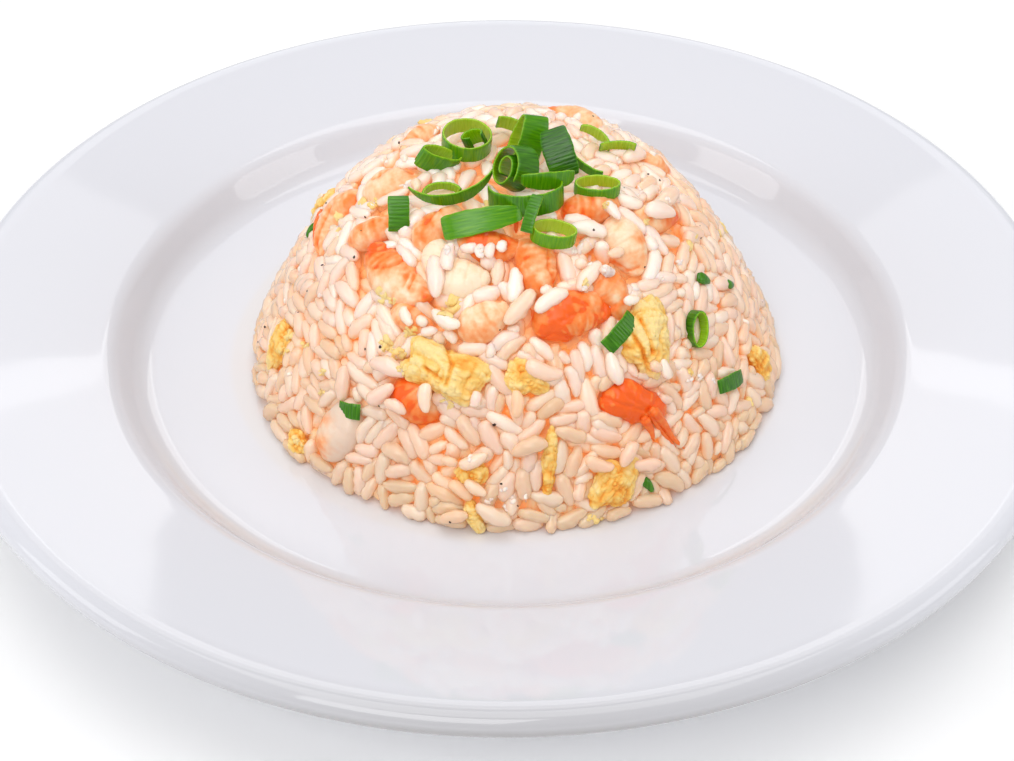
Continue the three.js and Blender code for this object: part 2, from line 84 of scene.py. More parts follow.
PLATE_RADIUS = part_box("plate")[1].x

MM = 0.001
TAU = 2 * math.pi


def linear(code):
    """The linear RGBA colour of an sRGB hex code."""
    channel = np.array([int(code[i : i + 2], 16) for i in (1, 3, 5)]) / 255
    bright = ((channel + 0.055) / 1.055) ** 2.4
    return (*np.where(channel <= 0.04045, channel / 12.92, bright).tolist(), 1.0)


# ------------------------------------------------------------------ settings


def length_setting(name, description, default):
    """A length in metres that a user would change."""
    return FloatProperty(name=name, description=description, default=default, unit="LENGTH")


def colour_setting(name, description, code):
    """A colour that a user would change, with its default as a hex code."""
    return FloatVectorProperty(
        name=name, description=description, default=linear(code), size=4, subtype="COLOR"
    )


class PlateSettings(PropertyGroup):
    radius: length_setting("Radius", "Radius of the plate over its lip", PLATE_RADIUS)
    height: length_setting("Height", "Height of the lip above the table", 0.03)
    glaze: colour_setting("Glaze", "Colour of the glazed porcelain", "#DDDEE5")


class RiceSettings(PropertyGroup):
    base_radius: length_setting(
        "Base radius", "Radius of the dome of rice where it stands on the plate", 0.0683
    )
    height: length_setting("Height", "Height of the dome above the floor of the well", 0.0555)
    grain_length: length_setting("Grain length", "Usual length of a cooked grain", 0.0076)
    grain_width: length_setting("Grain width", "Usual width of a cooked grain", 0.0034)
    outer_grains: IntProperty(
        name="Outer grains",
        description="Grains set out over the dome in its outer layer",
        default=1180,
    )
    inner_grains: IntProperty(
        name="Inner grains",
        description="Grains set out in the layer that shows through the gaps",
        default=1000,
    )
    seed: IntProperty(name="Seed", description="Seed of the grains' scatter", default=41)


class ShrimpSettings(PropertyGroup):
    flesh: colour_setting("Flesh", "Colour of the palest flesh", "#FFE9CC")
    blush: colour_setting("Blush", "Colour of the skin side where it is deepest", "#F9661C")


class EggSettings(PropertyGroup):
    curd: colour_setting("Curd", "Colour of the scrambled egg's high spots", "#FFE09A")
    # The crease colour is painted shade.
    crease: colour_setting("Crease", "Colour of the scrambled egg's creases", "#F29A32")


class ScallionSettings(PropertyGroup):
    wall: length_setting("Wall", "Thickness of the hollow leaf", 0.0006)
    outside: colour_setting("Outside", "Darkest colour of the leaf's outer face", "#1C5200")
    inside: colour_setting("Inside", "Lightest colour of the leaf's inner face", "#B8D43C")


class StageSettings(PropertyGroup):
    elevation: FloatProperty(
        name="Camera elevation",
        description="Angle that the camera looks down at",
        default=math.radians(40.94),
        subtype="ANGLE",
    )
    distance: length_setting(
        "Camera distance", "Distance from the camera to the point that it looks at", 0.34146
    )


# ------------------------------------------------------------------ meshes


def put_mesh(name, points, quads, triangles, material, uv=None, **attributes):
    """A smooth mesh object from points in millimetres and faces by corner number. The volume
    under all faces is summed, and faces are turned over where it comes out negative."""
    quads = np.asarray(quads, dtype=np.int32).reshape(-1, 4)
    triangles = np.asarray(triangles, dtype=np.int32).reshape(-1, 3)
    fans = np.concatenate([triangles, quads[:, [0, 1, 2]], quads[:, [0, 2, 3]]])
    a, b, c = np.moveaxis(points[fans], 1, 0)
    if np.einsum("ij,ij->", a, np.cross(b, c)) < 0:
        quads, triangles = quads[:, ::-1], triangles[:, ::-1]
    corners = np.concatenate([quads.ravel(), triangles.ravel()])
    starts = np.concatenate(
        [np.arange(len(quads)) * 4, len(quads) * 4 + np.arange(len(triangles)) * 3]
    )
    mesh = bpy.data.meshes.new(name)
    mesh.vertices.add(len(points))
    mesh.vertices.foreach_set("co", (points * MM).astype(np.float32).ravel())
    mesh.loops.add(len(corners))
    mesh.loops.foreach_set("vertex_index", corners)
    mesh.polygons.add(len(starts))
    mesh.polygons.foreach_set("loop_start", starts.astype(np.int32))
    mesh.update(calc_edges=True)
    mesh.shade_smooth()
    for key, values in attributes.items():
        layer = mesh.attributes.new(key, "FLOAT", "POINT")
        layer.data.foreach_set("value", np.asarray(values, dtype=np.float32).ravel())
    if uv is not None:
        layer = mesh.uv_layers.new(name="UVMap")
        layer.data.foreach_set("uv", np.asarray(uv, dtype=np.float32)[corners].ravel())
    mesh.materials.append(material)
    piece = bpy.data.objects.new(name, mesh)
    bpy.context.scene.collection.objects.link(piece)
    return piece


def finish_piece(piece, slot, *nodes):
    """The piece rides on the one body and takes the place of the nodes that it stands for."""
    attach(piece, "root")
    if nodes:
        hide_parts(*nodes)
    return piece


def skin_faces(rings, sides):
    """Faces of a closed skin: a pole, rings of points, and a last pole, numbered in order."""
    ring = np.arange(rings - 1)[:, None] * sides + 1
    around = np.arange(sides)
    following = (around + 1) % sides
    quads = np.stack(
        [ring + around, ring + following, ring + sides + following, ring + sides + around], -1
    ).reshape(-1, 4)
    last = rings * sides + 1
    edge = last - sides
    first_fan = np.stack([np.zeros_like(around), following + 1, around + 1], -1)
    last_fan = np.stack([np.full_like(around, last), edge + around, edge + following], -1)
    return quads, np.concatenate([first_fan, last_fan])


def put_skins(name, points, grid, material, uv=None, **attributes):
    """A piece of one or more closed skins, whose points follow one another. The grid is the
    number of each skin's rings and of its sides."""
    points = np.reshape(points, (-1, 3))
    stride = grid[0] * grid[1] + 2
    starts = np.arange(len(points) // stride)[:, None, None] * stride
    quads, triangles = (
        (faces[None] + starts).reshape(-1, faces.shape[1]) for faces in skin_faces(*grid)
    )
    return put_mesh(name, points, quads, triangles, material, uv, **attributes)


def ball_angles(grid):
    """Two parameters of a ball's points: the angle from the first pole, evenly stepped and
    just short of both poles, and the angle round it."""
    rings, sides = grid
    along = np.pi * (np.arange(rings) + 1) / (rings + 1)
    around = TAU * np.arange(sides) / sides
    return along[:, None], around[None, :]


def unit_ball(grid):
    """The points of a ball of radius 1 on that grid, without its poles."""
    along, around = ball_angles(grid)
    flat = np.sin(along)
    return joined(flat * np.cos(around), flat * np.sin(around), np.cos(along))


def joined(*parts):
    """Coordinates, each an array over the grid or along one side of it, as an array of points."""
    return np.stack(np.broadcast_arrays(*parts), -1)


def laid_out(origin, directions, *distances):
    """The points at those distances from the origin along the directions."""
    return sum((part[..., None] * way for part, way in zip(distances, directions)), origin)


def with_poles(values):
    """A skin's values in the order of its points. Each pole has its nearest ring's mean."""
    return np.concatenate([[values[0].mean()], values.ravel(), [values[-1].mean()]])


# ------------------------------------------------------------------ seeded noise


# Large odd numbers and shifts that mix a corner's place on the lattice and the seed.
MIX_AXES = np.array([73856093, 19349663, 83492791])
MIX_SEED = 668265263
MIX_ROUNDS = ((15, 2246822519), (13, 3266489917))
MIX_BITS = 0xFFFFFFFF


def lattice_noise(points, cell, seed):
    """Smooth noise from -1 to 1: a seeded value at each corner of a cube of that cell size,
    blended between the corners by a smooth step along each axis."""
    scaled = np.asarray(points) / cell
    base = np.floor(scaled).astype(np.int64)
    share = scaled - base
    share = share * share * (3 - 2 * share)
    total = np.zeros(scaled.shape[:-1])
    for corner in itertools.product((0, 1), repeat=3):
        key = (base + corner) * MIX_AXES
        mixed = (key[..., 0] ^ key[..., 1] ^ key[..., 2] ^ (seed * MIX_SEED)) & MIX_BITS
        for shift, factor in MIX_ROUNDS:
            mixed = ((mixed ^ (mixed >> shift)) * factor) & MIX_BITS
        value = (mixed ^ (mixed >> 16)) / (MIX_BITS // 2) - 1
        total += value * np.prod(np.where(corner, share, 1 - share), axis=-1)
    return total


def billow(points, cell, seed):
    """Rounded bumps with sharp creases between them, from 0 in a crease up to 1."""
    return np.abs(lattice_noise(points, cell, seed)) ** 0.6


def layered(noise, points, seed, layers):
    """The sum of layers of a noise, each (cell size, height, what the seed gains)."""
    return sum(height * noise(points, cell, seed + gain) for cell, height, gain in layers)


def ramp(value, start, length):
    """A share that grows evenly from 0 at the start to 1 after that length."""
    return np.clip((value - start) / length, 0, 1)


# ------------------------------------------------------------------ the dome as a surface


WELL_FLOOR = 8.0
DOME_CENTRE_X = 2.0
DOME_TAPER = 0.39
DOME_SHOULDER = 3
DOME_ROUNDNESS = 4.7
DOME_MIDDLE_SHARE = 0.36
DOME_SAMPLES = 2001


class Dome:
    """The outline of the heap. Its radius at a rise r from 0 to 1 is the base radius times
    (1 - taper r) times (1 - r^shoulder)^(1/roundness). Places on it are given by a bearing
    from the front and by the way down from the crown, over the surface."""

    def __init__(self, base_radius, height):
        rise = 1 - np.linspace(0, 1, DOME_SAMPLES) ** 3
        self.radius = base_radius * (1 - DOME_TAPER * rise)
        self.radius *= (1 - rise**DOME_SHOULDER) ** (1 / DOME_ROUNDNESS)
        self.height = WELL_FLOOR + height * rise
        steps = np.hypot(np.diff(self.radius), np.diff(self.height))
        self.down = np.concatenate([[0], np.cumsum(steps)])
        fall = -np.gradient(self.height, self.down)
        reach = np.gradient(self.radius, self.down)
        self.slope = np.arctan2(fall, reach)
        self.middle = np.array([DOME_CENTRE_X, 0, WELL_FLOOR + height * DOME_MIDDLE_SHARE])
        rise_from_middle = self.height - self.middle[2]
        self.polar = np.arctan2(self.radius, rise_from_middle)
        self.reach = np.hypot(self.radius, rise_from_middle)
        self.facing = np.sin(self.slope) * np.sin(self.polar)
        self.facing += np.cos(self.slope) * np.cos(self.polar)

    def frames(self, bearing, down, lift=0.0, turn=0.0):
        """Origin, run, side and outward arrays at each place. Run points downhill and side to
        the right of it, both turned about the outward normal by turn degrees."""
        bearing, down, lift, turn = np.broadcast_arrays(
            *(np.asarray(value, dtype=float) for value in (bearing, down, lift, turn))
        )
        b, t = np.radians(bearing), np.radians(turn)[..., None]
        radius = np.interp(down, self.down, self.radius)
        height = np.interp(down, self.down, self.height)
        slope = np.interp(down, self.down, self.slope)
        zero = np.zeros_like(b)
        out = np.stack([np.sin(b), -np.cos(b), zero], -1)
        across = np.stack([np.cos(b), np.sin(b), zero], -1)
        up = np.array([0.0, 0.0, 1.0])
        downhill = out * np.cos(slope)[..., None] - up * np.sin(slope)[..., None]
        outward = out * np.sin(slope)[..., None] + up * np.cos(slope)[..., None]
        origin = out * radius[..., None] + up * height[..., None] + outward * lift[..., None]
        origin[..., 0] += DOME_CENTRE_X
        run = downhill * np.cos(t) + across * np.sin(t)
        side = across * np.cos(t) - downhill * np.sin(t)
        return origin, run, side, outward

    def seat_of(self, item):
        """Origin, run, side and outward of a topping, which is sunk into the dome."""
        return self.frames(item.bearing, item.down, -item.sink, item.turn)

    def away_from_middle(self, points):
        """The direction from the dome's middle to each point."""
        away = points - self.middle
        return away / np.linalg.norm(away, axis=-1, keepdims=True)

    def lift_of(self, points):
        """Height of points above the outline, measured square to it: how much farther they
        are from the middle than it is, times the cosine between that way and its normal."""
        offset = points - self.middle
        polar = np.arctan2(np.hypot(offset[..., 0], offset[..., 1]), offset[..., 2])
        beyond = np.linalg.norm(offset, axis=-1) - np.interp(polar, self.polar, self.reach)
        return beyond * np.interp(polar, self.polar, self.facing)


# ------------------------------------------------------------------ what the camera sees


FRAME_WIDTH, FRAME_HEIGHT = 1014, 761
FOCAL_PIXELS = 1500.0
CAMERA_TARGET = np.array([0.0, -40.45, 30.0])
NEAR_SIGHT, FAR_SIGHT, SIGHT_STEP = 240.0, 440.0, 0.25


def camera_axes(elevation):
    """Forward, right and up of a camera that looks along +Y and down at that angle."""
    forward = np.array([0, math.cos(elevation), -math.sin(elevation)])
    right = np.array([1.0, 0.0, 0.0])
    return forward, right, np.cross(right, forward)


def camera_place(stage):
    """Where the camera stands, in millimetres."""
    forward, _, _ = camera_axes(stage.elevation)
    return CAMERA_TARGET - forward * stage.distance / MM


def sight_lines(stage, pixels):
    """The direction of the line of sight through each pixel."""
    forward, right, up = camera_axes(stage.elevation)
    pixels = np.asarray(pixels, dtype=float)
    x = (pixels[..., 0] - FRAME_WIDTH / 2) / FOCAL_PIXELS
    y = (FRAME_HEIGHT / 2 - pixels[..., 1]) / FOCAL_PIXELS
    ray = forward + x[..., None] * right + y[..., None] * up
    return ray / np.linalg.norm(ray, axis=-1, keepdims=True)


def seen_on_dome(dome, stage, pixels, lift):
    """Where the line of sight through each pixel first comes down to that height over the
    dome: the line is walked in small steps."""
    walked = np.arange(NEAR_SIGHT, FAR_SIGHT, SIGHT_STEP)
    points = camera_place(stage) + sight_lines(stage, pixels)[..., None, :] * walked[:, None]
    below = dome.lift_of(points) < np.asarray(lift)[..., None]
    below &= points[..., 2] > WELL_FLOOR
    first = np.argmax(below, axis=-1)
    return np.take_along_axis(points, first[..., None, None], axis=-2)[..., 0, :]


def pixels_of(points, stage):
    """Where points show in the camera's frame."""
    forward, right, up = camera_axes(stage.elevation)
    offset = points - camera_place(stage)
    depth = offset @ forward
    x = FRAME_WIDTH / 2 + FOCAL_PIXELS * (offset @ right) / depth
    y = FRAME_HEIGHT / 2 - FOCAL_PIXELS * (offset @ up) / depth
    return np.stack([x, y], -1)


def facing_camera(points, outward, stage):
    """Whether a surface there faces the camera."""
    return ((camera_place(stage) - points) * outward).sum(-1) > 0


def spots_share(pixels, spots):
    """The sum of soft round spots (x, y, reach, amount) at each pixel."""
    total = np.zeros(pixels.shape[:-1])
    for x, y, reach, amount in spots:
        total = total + amount * np.exp(-(((pixels - [x, y]) / reach) ** 2).sum(-1))
    return total


def lines_share(pixels, lines, reach):
    """How near each pixel is to the nearest of some lines (x, y, x, y, ...), from 0 to 1."""
    share = np.zeros(pixels.shape[:-1])
    for line in lines:
        corners = np.array(line, dtype=float).reshape(-1, 2)
        nearest = np.full(pixels.shape[:-1], np.inf)
        for a, b in zip(corners[:-1], corners[1:]):
            t = np.clip((pixels - a) @ (b - a) / ((b - a) @ (b - a)), 0, 1)
            away = np.linalg.norm(pixels - a - t[..., None] * (b - a), axis=-1)
            nearest = np.minimum(nearest, away)
        share = np.maximum(share, np.exp(-((nearest / reach) ** 2)))
    return share


def within(pixels, corners):
    """Whether each pixel lies inside the closed outline: a line to its right crosses the
    outline an odd number of times."""
    x, y = pixels[..., 0], pixels[..., 1]
    inside = np.zeros(x.shape, dtype=bool)
    for (x1, y1), (x2, y2) in zip(corners, corners[1:] + corners[:1]):
        crosses = (y1 > y) != (y2 > y)
        at = x1 + (y - y1) * (x2 - x1) / (y2 - y1 if y2 != y1 else 1)
        inside ^= crosses & (x < at)
    return inside


# ------------------------------------------------------------------ where the toppings lie


class Shrimp(NamedTuple):
    """A piece of peeled shrimp: its middle on the dome, how it runs and bends, how far the
    skin's colour comes through in all and at the tail, and how lumpy and clear it is. Marks
    are spots (x, y, reach, blush) and lines are grooves (x, y, x, y, ...), in the camera's
    pixels."""

    bearing: float
    down: float
    turn: float
    length: float
    girth: float
    curl: float
    sink: float
    blush: float
    tail: float = 0.0
    rough: float = 0.5
    clear: float = 0.0
    marks: tuple = ()
    lines: tuple = ()


SHRIMPS = [
    Shrimp(-84, 30, 170, 15, 11.5, 60, 2.4, 0.16, rough=0.3,
           marks=[(410, 169, 8, 0.4), (392, 186, 16, 0.12), (400, 152, 10, 0.12)],
           lines=[(360, 174, 380, 161, 398, 165, 412, 173), (372, 178, 392, 168)]),
    Shrimp(-84, 48, 20, 20, 10.5, 120, 1.8, 0.30, rough=0.3,
           marks=[(352, 207, 12, 0.3), (361, 202, 6, 0.4), (341, 234, 8, 0.25)],
           lines=[(330, 205, 322, 225, 316, 245, 318, 260), (346, 226, 336, 245, 332, 260),
                  (352, 218, 362, 208)]),
    Shrimp(-64.5, 39.5, 150, 13, 8.6, 50, 1.6, 0.34, rough=0.2,
           marks=[(362, 222, 8, 0.1), (380, 224, 8, 0.2)]),
    Shrimp(-42, 43, 80, 22, 11, 70, 1.8, 0.28, rough=0.8,
           marks=[(367, 246, 9, 0.75), (388, 241, 9, 0.35), (384, 259, 14, 0.36),
                  (406, 264, 10, 0.3), (395, 286, 18, -0.16), (427, 298, 8, 0.5)],
           lines=[(364, 252, 385, 249, 400, 239, 420, 243), (408, 288, 414, 276, 420, 267),
                  (402, 286, 408, 275), (370, 268, 390, 266, 406, 261)]),
    Shrimp(-40, 28.5, 165, 13.5, 9.4, 60, 1.6, 0.22, rough=0.4,
           marks=[(437, 208, 6, 0.6), (428, 220, 6, 0.6), (424, 236, 12, 0.25),
                  (447, 236, 8, 0.3)],
           lines=[(426, 222, 440, 206)]),
    Shrimp(-19, 38.5, 100, 12.5, 10.4, 40, 1.8, 0.02, rough=0.4, marks=[(470, 262, 12, 0.06)]),
    Shrimp(-9.5, 47.5, 125, 13, 10.4, 30, 1.8, 0.2, rough=0.25,
           marks=[(484, 338, 18, 0.24), (470, 300, 12, -0.1)],
           lines=[(470, 306, 486, 300, 500, 301)]),
    Shrimp(9, 35.5, 8, 14, 10.6, 50, 2.0, 0.42, rough=0.9,
           marks=[(524, 256, 12, 0.14), (520, 285, 8, 0.4), (541, 276, 6, -0.25),
                  (514, 245, 6, -0.3)],
           lines=[(548, 246, 549, 268, 556, 284)]),
    Shrimp(17.5, 48.5, 96, 18, 12, -110, 1.8, 0.66, tail=0.1, rough=0.9,
           marks=[(560, 322, 12, 0.35), (556, 334, 8, 0.2), (598, 291, 9, -0.4),
                  (588, 322, 10, -0.12), (545, 305, 8, -0.1)],
           lines=[(540, 338, 556, 334, 576, 338), (562, 321, 586, 309), (594, 313, 603, 331),
                  (575, 300, 590, 304)]),
    Shrimp(30.5, 45, 10, 14, 8, -50, 1.2, 0.50, rough=0.8,
           marks=[(603, 325, 7, 0.3), (615, 298, 6, -0.4)]),
    Shrimp(45, 36.5, -5, 14.5, 11.5, -60, 2.2, 0.12, rough=0.2,
           marks=[(642, 240, 8, 0.3), (640, 260, 8, 0.28), (612, 264, 8, 0.26)],
           lines=[(616, 262, 626, 270, 640, 266)]),
    Shrimp(71, 36.5, 60, 17, 8, 60, 1.4, 0.28, rough=0.4,
           marks=[(674, 221, 9, 0.5), (652, 232, 8, 0.1)]),
    Shrimp(47, 24, 62, 15, 8.6, 50, 1.4, 0.40, rough=0.6,
           marks=[(560, 211, 14, 0.4), (586, 216, 10, 0.3)]),
    Shrimp(28, 71, 62, 17, 10.2, -70, 1.4, 0.82, rough=0.6,
           marks=[(627, 399, 10, 0.25), (646, 394, 9, -0.12), (609, 388, 8, -0.1)],
           lines=[(596, 391, 625, 406, 655, 413), (615, 384, 640, 404, 652, 411),
                  (637, 378, 659, 392, 655, 406)]),
    Shrimp(-41.5, 82, 165, 17, 12, 40, 1.8, 0.1, rough=0.1, clear=0.7,
           marks=[(319, 418, 9, 0.4), (318, 442, 9, 0.4), (322, 456, 8, 0.2),
                  (352, 432, 14, -0.15)]),
    Shrimp(-24, 68, 60, 13, 11, 60, 2.2, 0.56, rough=0.4,
           marks=[(400, 396, 9, 0.4), (430, 392, 8, -0.7), (436, 406, 8, -0.4),
                  (416, 410, 6, 0.2)]),
    Shrimp(149, 29, 80, 17, 7, 50, 1.2, 0.26, tail=0.3, rough=0.5),
    Shrimp(106, 37, 0, 11, 6, 60, 1.2, 0.36, tail=0.4),
    Shrimp(-122, 28, 70, 12, 6.4, 50, 1.4, 0.30),
    Shrimp(-12, 29.5, 92, 16, 8, 40, 1.6, 0.52, rough=0.7,
           marks=[(485, 238, 14, 0.35), (517, 225, 8, 0.35), (505, 245, 8, 0.2),
                  (455, 240, 10, -0.2)]),
    Shrimp(-29.5, 36.5, 28, 11, 8, 30, 1.6, 0.04, rough=0.3,
           marks=[(459, 262, 7, 0.4), (452, 272, 5, 0.3)]),
    Shrimp(-31, 50.5, 80, 11, 7, 40, 1.6, 0.34, rough=0.3,
           marks=[(428, 302, 6, 0.6), (408, 334, 8, 0.3)]),
]


class Egg(NamedTuple):
    """A curd of egg: its middle on the dome, its size and folds, and how deep a yellow it
    is. Marks and lines are as for the shrimp, and darken it instead."""

    bearing: float
    down: float
    turn: float
    length: float
    width: float
    height: float
    folds: int
    sink: float
    amber: float = 0.2
    marks: tuple = ()
    lines: tuple = ()


EGGS = [
    Egg(-18, 60, 80, 21, 12, 7, 4, 0.6, amber=0.05,
        marks=[(470, 366, 12, 0.3), (478, 384, 8, 0.3), (406, 350, 8, 0.3), (440, 352, 14, -0.2)],
        lines=[(447, 345, 452, 365, 446, 385), (425, 368, 440, 380)]),
    Egg(36.5, 57, -20, 18, 13, 7, 3, 0.6, amber=0.05,
        marks=[(624, 345, 9, 0.3), (655, 330, 14, -0.15), (640, 345, 6, 0.15)],
        lines=[(630, 330, 642, 350, 648, 372), (640, 318, 652, 340, 654, 354)]),
    Egg(2, 60, 60, 10, 7.5, 5, 3, 0.8, amber=0.12, marks=[(522, 368, 8, 0.2)]),
    Egg(-71, 79, 12, 13, 8.5, 5, 3, 1.0, amber=0.16),
    Egg(-51, 91.5, 80, 7, 5, 4, 2, 0.4, amber=0.16),
    Egg(-9, 82, 88, 9, 5, 4, 2, 0.6, amber=0.12),
    Egg(-8, 91.5, 12, 7.5, 4, 4, 2, 0.0, amber=0.12),
    Egg(7, 79.5, -8, 15, 4, 4.4, 2, 0.8, amber=0.24),
    Egg(20, 86.5, 130, 13, 10, 6, 4, 0.4, amber=0.24),
    Egg(71, 84, 12, 11, 7, 5, 3, 0.6, amber=0.12),
    Egg(140, 58, 40, 15, 10, 6, 3, 0.8, amber=0.15),
    Egg(-168, 80, 80, 14, 9, 5.5, 3, 0.8, amber=0.16),
    Egg(-112, 62, 20, 12, 8, 5, 3, 0.8, amber=0.12),
]


class Slice(NamedTuple):
    """A band cut across a hollow leaf. It runs round an ellipse of half axes a and b from
    one angle to another, and is as wide as the slice, along the leaf's axis. It shrinks as
    it goes round, leans out along the axis and tapers to its ends. Depth is how dark its
    green is. A piece torn lengthwise has its veins along the band. A slice without a place
    of its own lies on the dome with its outer face up."""

    name: str
    a: float
    b: float
    width: float
    start: float
    end: float
    at: tuple = None
    axis: tuple = None
    along: tuple = None
    bearing: float = 0
    down: float = 0
    lift: float = 0
    turn: float = 0
    shrink: float = 0
    lean: float = 0
    taper: float = 0
    depth: float = 0.5
    lengthwise: bool = False


SLICES = [
    Slice("scallion_curl", 5.6, 5.5, 4.1, 0, 360,
          (-9.4, 3.4, 66.4), (0.08, -0.12, 1), (1, 0, -0.1), depth=0.25),
    Slice("scallion_inner_curl", 3.1, 2.2, 4.2, -30, 270,
          (-8.0, 2.2, 66.8), (-0.35, -0.1, 0.9), (1, 0, 0.2), shrink=0.5, depth=0.9),
    Slice("scallion_fold", 4.8, 1.7, 5.6, -170, 160,
          (-16.0, -2.6, 64.8), (0.45, -0.2, 0.85), (0.9, 0.2, -0.4), depth=0.4),
    Slice("scallion_hook", 10.8, 11.5, 3.4, 206, 334,
          (-13.4, -7.4, 66.9), (-0.16, -0.2, 0.96), (1, 0.08, 0.3), taper=0.8, depth=0.45),
    Slice("scallion_leaf", 8.8, 2.4, 5.8, 140, 348,
          (-5.4, -25.4, 63.5), (-0.2, 0.62, 0.74), (0.97, 0.16, 0.18), taper=0.55,
          lengthwise=True, depth=0.4),
    Slice("scallion_cone", 6.0, 4.4, 7.0, -115, 500,
          (1.2, -11.6, 68.0), (-0.55, -0.62, 0.56), (0.2, 0.4, 0.9), shrink=0.62, lean=-0.16,
          depth=0.75),
    Slice("scallion_loop", 7.4, 2.6, 6.2, 0, 360,
          (4.1, 1.4, 66.1), (-0.8, -0.27, 0.37), (0.06, 0.13, 1.0), lean=-0.1, depth=0.5),
    Slice("scallion_bowl", 8.2, 6.0, 5.2, 184, 365,
          (4.2, -18.2, 65.8), (-0.05, 0.12, 0.98), (1, 0, -0.05), depth=0.55),
    Slice("scallion_point", 6.2, 2.4, 4.4, 190, 345,
          (9.0, -15.6, 68.9), (0.05, 0.1, 0.98), (1, 0.3, 0.05), taper=0.5, depth=0.45),
    Slice("scallion_blade", 5.8, 2.4, 7.2, 195, 345,
          (12.1, -4.2, 67.6), (0.95, 0.1, 0.3), (0.4, -0.6, -0.7), taper=0.2, depth=1.0),
    Slice("scallion_back", 3.6, 1.2, 4.2, 15, 165,
          (1.0, 9.4, 66.0), (0.2, -0.3, 0.9), (1, -0.3, 0.1), depth=0.45),
    Slice("scallion_sliver", 4.4, 1.2, 2.8, 20, 160,
          (5.6, -27.6, 66.8), (0.9, -0.4, 0.0), (0.55, 0.6, 0.72), depth=0.7),
    Slice("scallion_arc", 4.4, 3.0, 2.4, 15, 175,
          (-14.6, -16.0, 63.9), (0.1, -0.25, 0.95), (1, 0.2, -0.05), depth=0.6),
    Slice("scallion_ring", 4.8, 3.2, 3.4, 0, 360,
          (10.2, -29.2, 62.7), (0.16, 0.0, 0.97), (1, 0.05, -0.2), depth=0.2),
    Slice("scallion_ring_right", 5.0, 3.0, 3.0, 0, 360,
          (20.4, -13.6, 64.4), (0.05, 0.0, 1), (1, 0.1, -0.02), depth=0.35),
    Slice("scallion_strip", 4.6, 1.6, 2.4, 195, 345,
          (18.8, -4.6, 65.0), (0.1, -0.2, 0.93), (0.75, -0.65, 0), depth=0.5),
    Slice("scallion_crescent", 4.3, 1.9, 3.4, 10, 170,
          (20.6, 7.6, 64.0), (0.15, -0.35, 0.88), (0.75, -0.62, 0.1), taper=0.4, depth=0.35),
    Slice("scallion_band", 4.3, 1.2, 3.4, 15, 165,
          (26.0, 3.2, 64.0), (0.05, -0.4, 0.85), (1, 0.05, 0), depth=0.5),
    Slice("scallion_stand", 3.9, 1.3, 4.8, 15, 165,
          (-24.4, -18.8, 60.9), (1, 0.1, -0.05), (0.1, 0.6, 0.8), depth=0.7),
    Slice("scallion_ring_side", 4.0, 2.1, 3.4, 0, 360,
          (43.2, -32.4, 38.6), (0.5, -0.72, 0.47), (0.05, 0.5, 0.86), depth=0.75),
    Slice("scallion_left", 3.0, 1.0, 3.6, 15, 165,
          bearing=-39, down=76, lift=0.2, turn=106, depth=0.8),
    Slice("scallion_middle", 4.9, 1.2, 4.0, 15, 165,
          bearing=28.5, down=53.5, lift=0.6, turn=119, depth=0.8),
    Slice("scallion_right", 5.0, 1.2, 3.8, 15, 165,
          bearing=55.5, down=78, lift=0.2, turn=74, taper=0.2, depth=0.85),
]

# The flecks that are pressed into the rice: bearing, way down, turn, length and width.
FLECKS = [
    (-94, 58.5, 30, 4.0, 2.4),
    (65, 55.0, 43, 5.5, 2.6),
    (75, 63.0, 31, 4.6, 2.2),
    (27, 89.0, 26, 4.6, 2.4),
]


# ------------------------------------------------------------------ shrimp


SHRIMP_GRID = (96, 64)
SHRIMP_SEGMENTS = 4
SEGMENT_SLANT, SEGMENT_SHIFT, SEGMENT_SEAM = 0.22, 0.4, 0.11
SEAM_DEPTH, SEAM_DEPTH_OF_ROUGHNESS = 0.08, 0.1
SHRIMP_FLATNESS, SHRIMP_BLUNTNESS = 0.88, 0.85
SHRIMP_ROUNDNESS, SHRIMP_TAPER = 0.45, 0.42
COVER_STATIONS = np.array([0.08, 0.3, 0.5, 0.7, 0.9])
# Lumps by cell size, height, how much higher roughness makes them, and what the seed gains.
SHRIMP_LUMPS = ((5.0, 0.6, 0.3, 0), (1.9, 0.08, 0.3, 1), (0.8, 0.0, 0.14, 4))
# Mottles by cell size, share of blush and what the seed gains.
SHRIMP_MOTTLES = ((2.4, 0.6, 2), (0.9, 0.4, 3))
MOTTLE, MOTTLE_OF_ROUGHNESS = 0.07, 0.14
SHRIMP_GROOVE_PIXELS, SHRIMP_GROOVE_DEPTH = 1.6, 0.45
INNER_BLUSH, OUTER_BLUSH, SEAM_BLUSH, GROOVE_BLUSH = 0.8, 0.3, 0.07, 0.26
TAIL_START, TAIL_LENGTH = 0.62, 0.3
STREAK_CELL, STREAK_STRETCH, STREAK_SHARE = 2.0, np.array([2.4, 0.7, 0.7]), 0.34
MOST_BLUSH, MOST_STREAKED = 1.2, 0.8
LEAST_RADIUS = 0.02


def shrimp_spine(item, u):
    """The middle line, an arc of the item's length bent by its curl, with its heading."""
    bend = math.radians(item.curl)
    radius = item.length / bend
    angle = bend * (u - 0.5)
    x = radius * np.sin(angle)
    y = radius * (1 - np.cos(angle)) - radius * (1 - math.cos(bend / 2)) / 2
    return x, y, angle


def shrimp_girth(u):
    """Girth along the body as a share of the thickest: rounded ends and a taper."""
    return np.sin(np.pi * u) ** SHRIMP_ROUNDNESS * (1 - SHRIMP_TAPER * u * u)


def shrimp_cover(item, dome):
    """Balls strung along the spine that the grains of rice keep clear of."""
    x, y, _ = shrimp_spine(item, COVER_STATIONS)
    origin, *directions = dome.seat_of(item)
    centres = laid_out(origin, directions, x, y)
    return centres, item.girth / 2 * shrimp_girth(COVER_STATIONS)


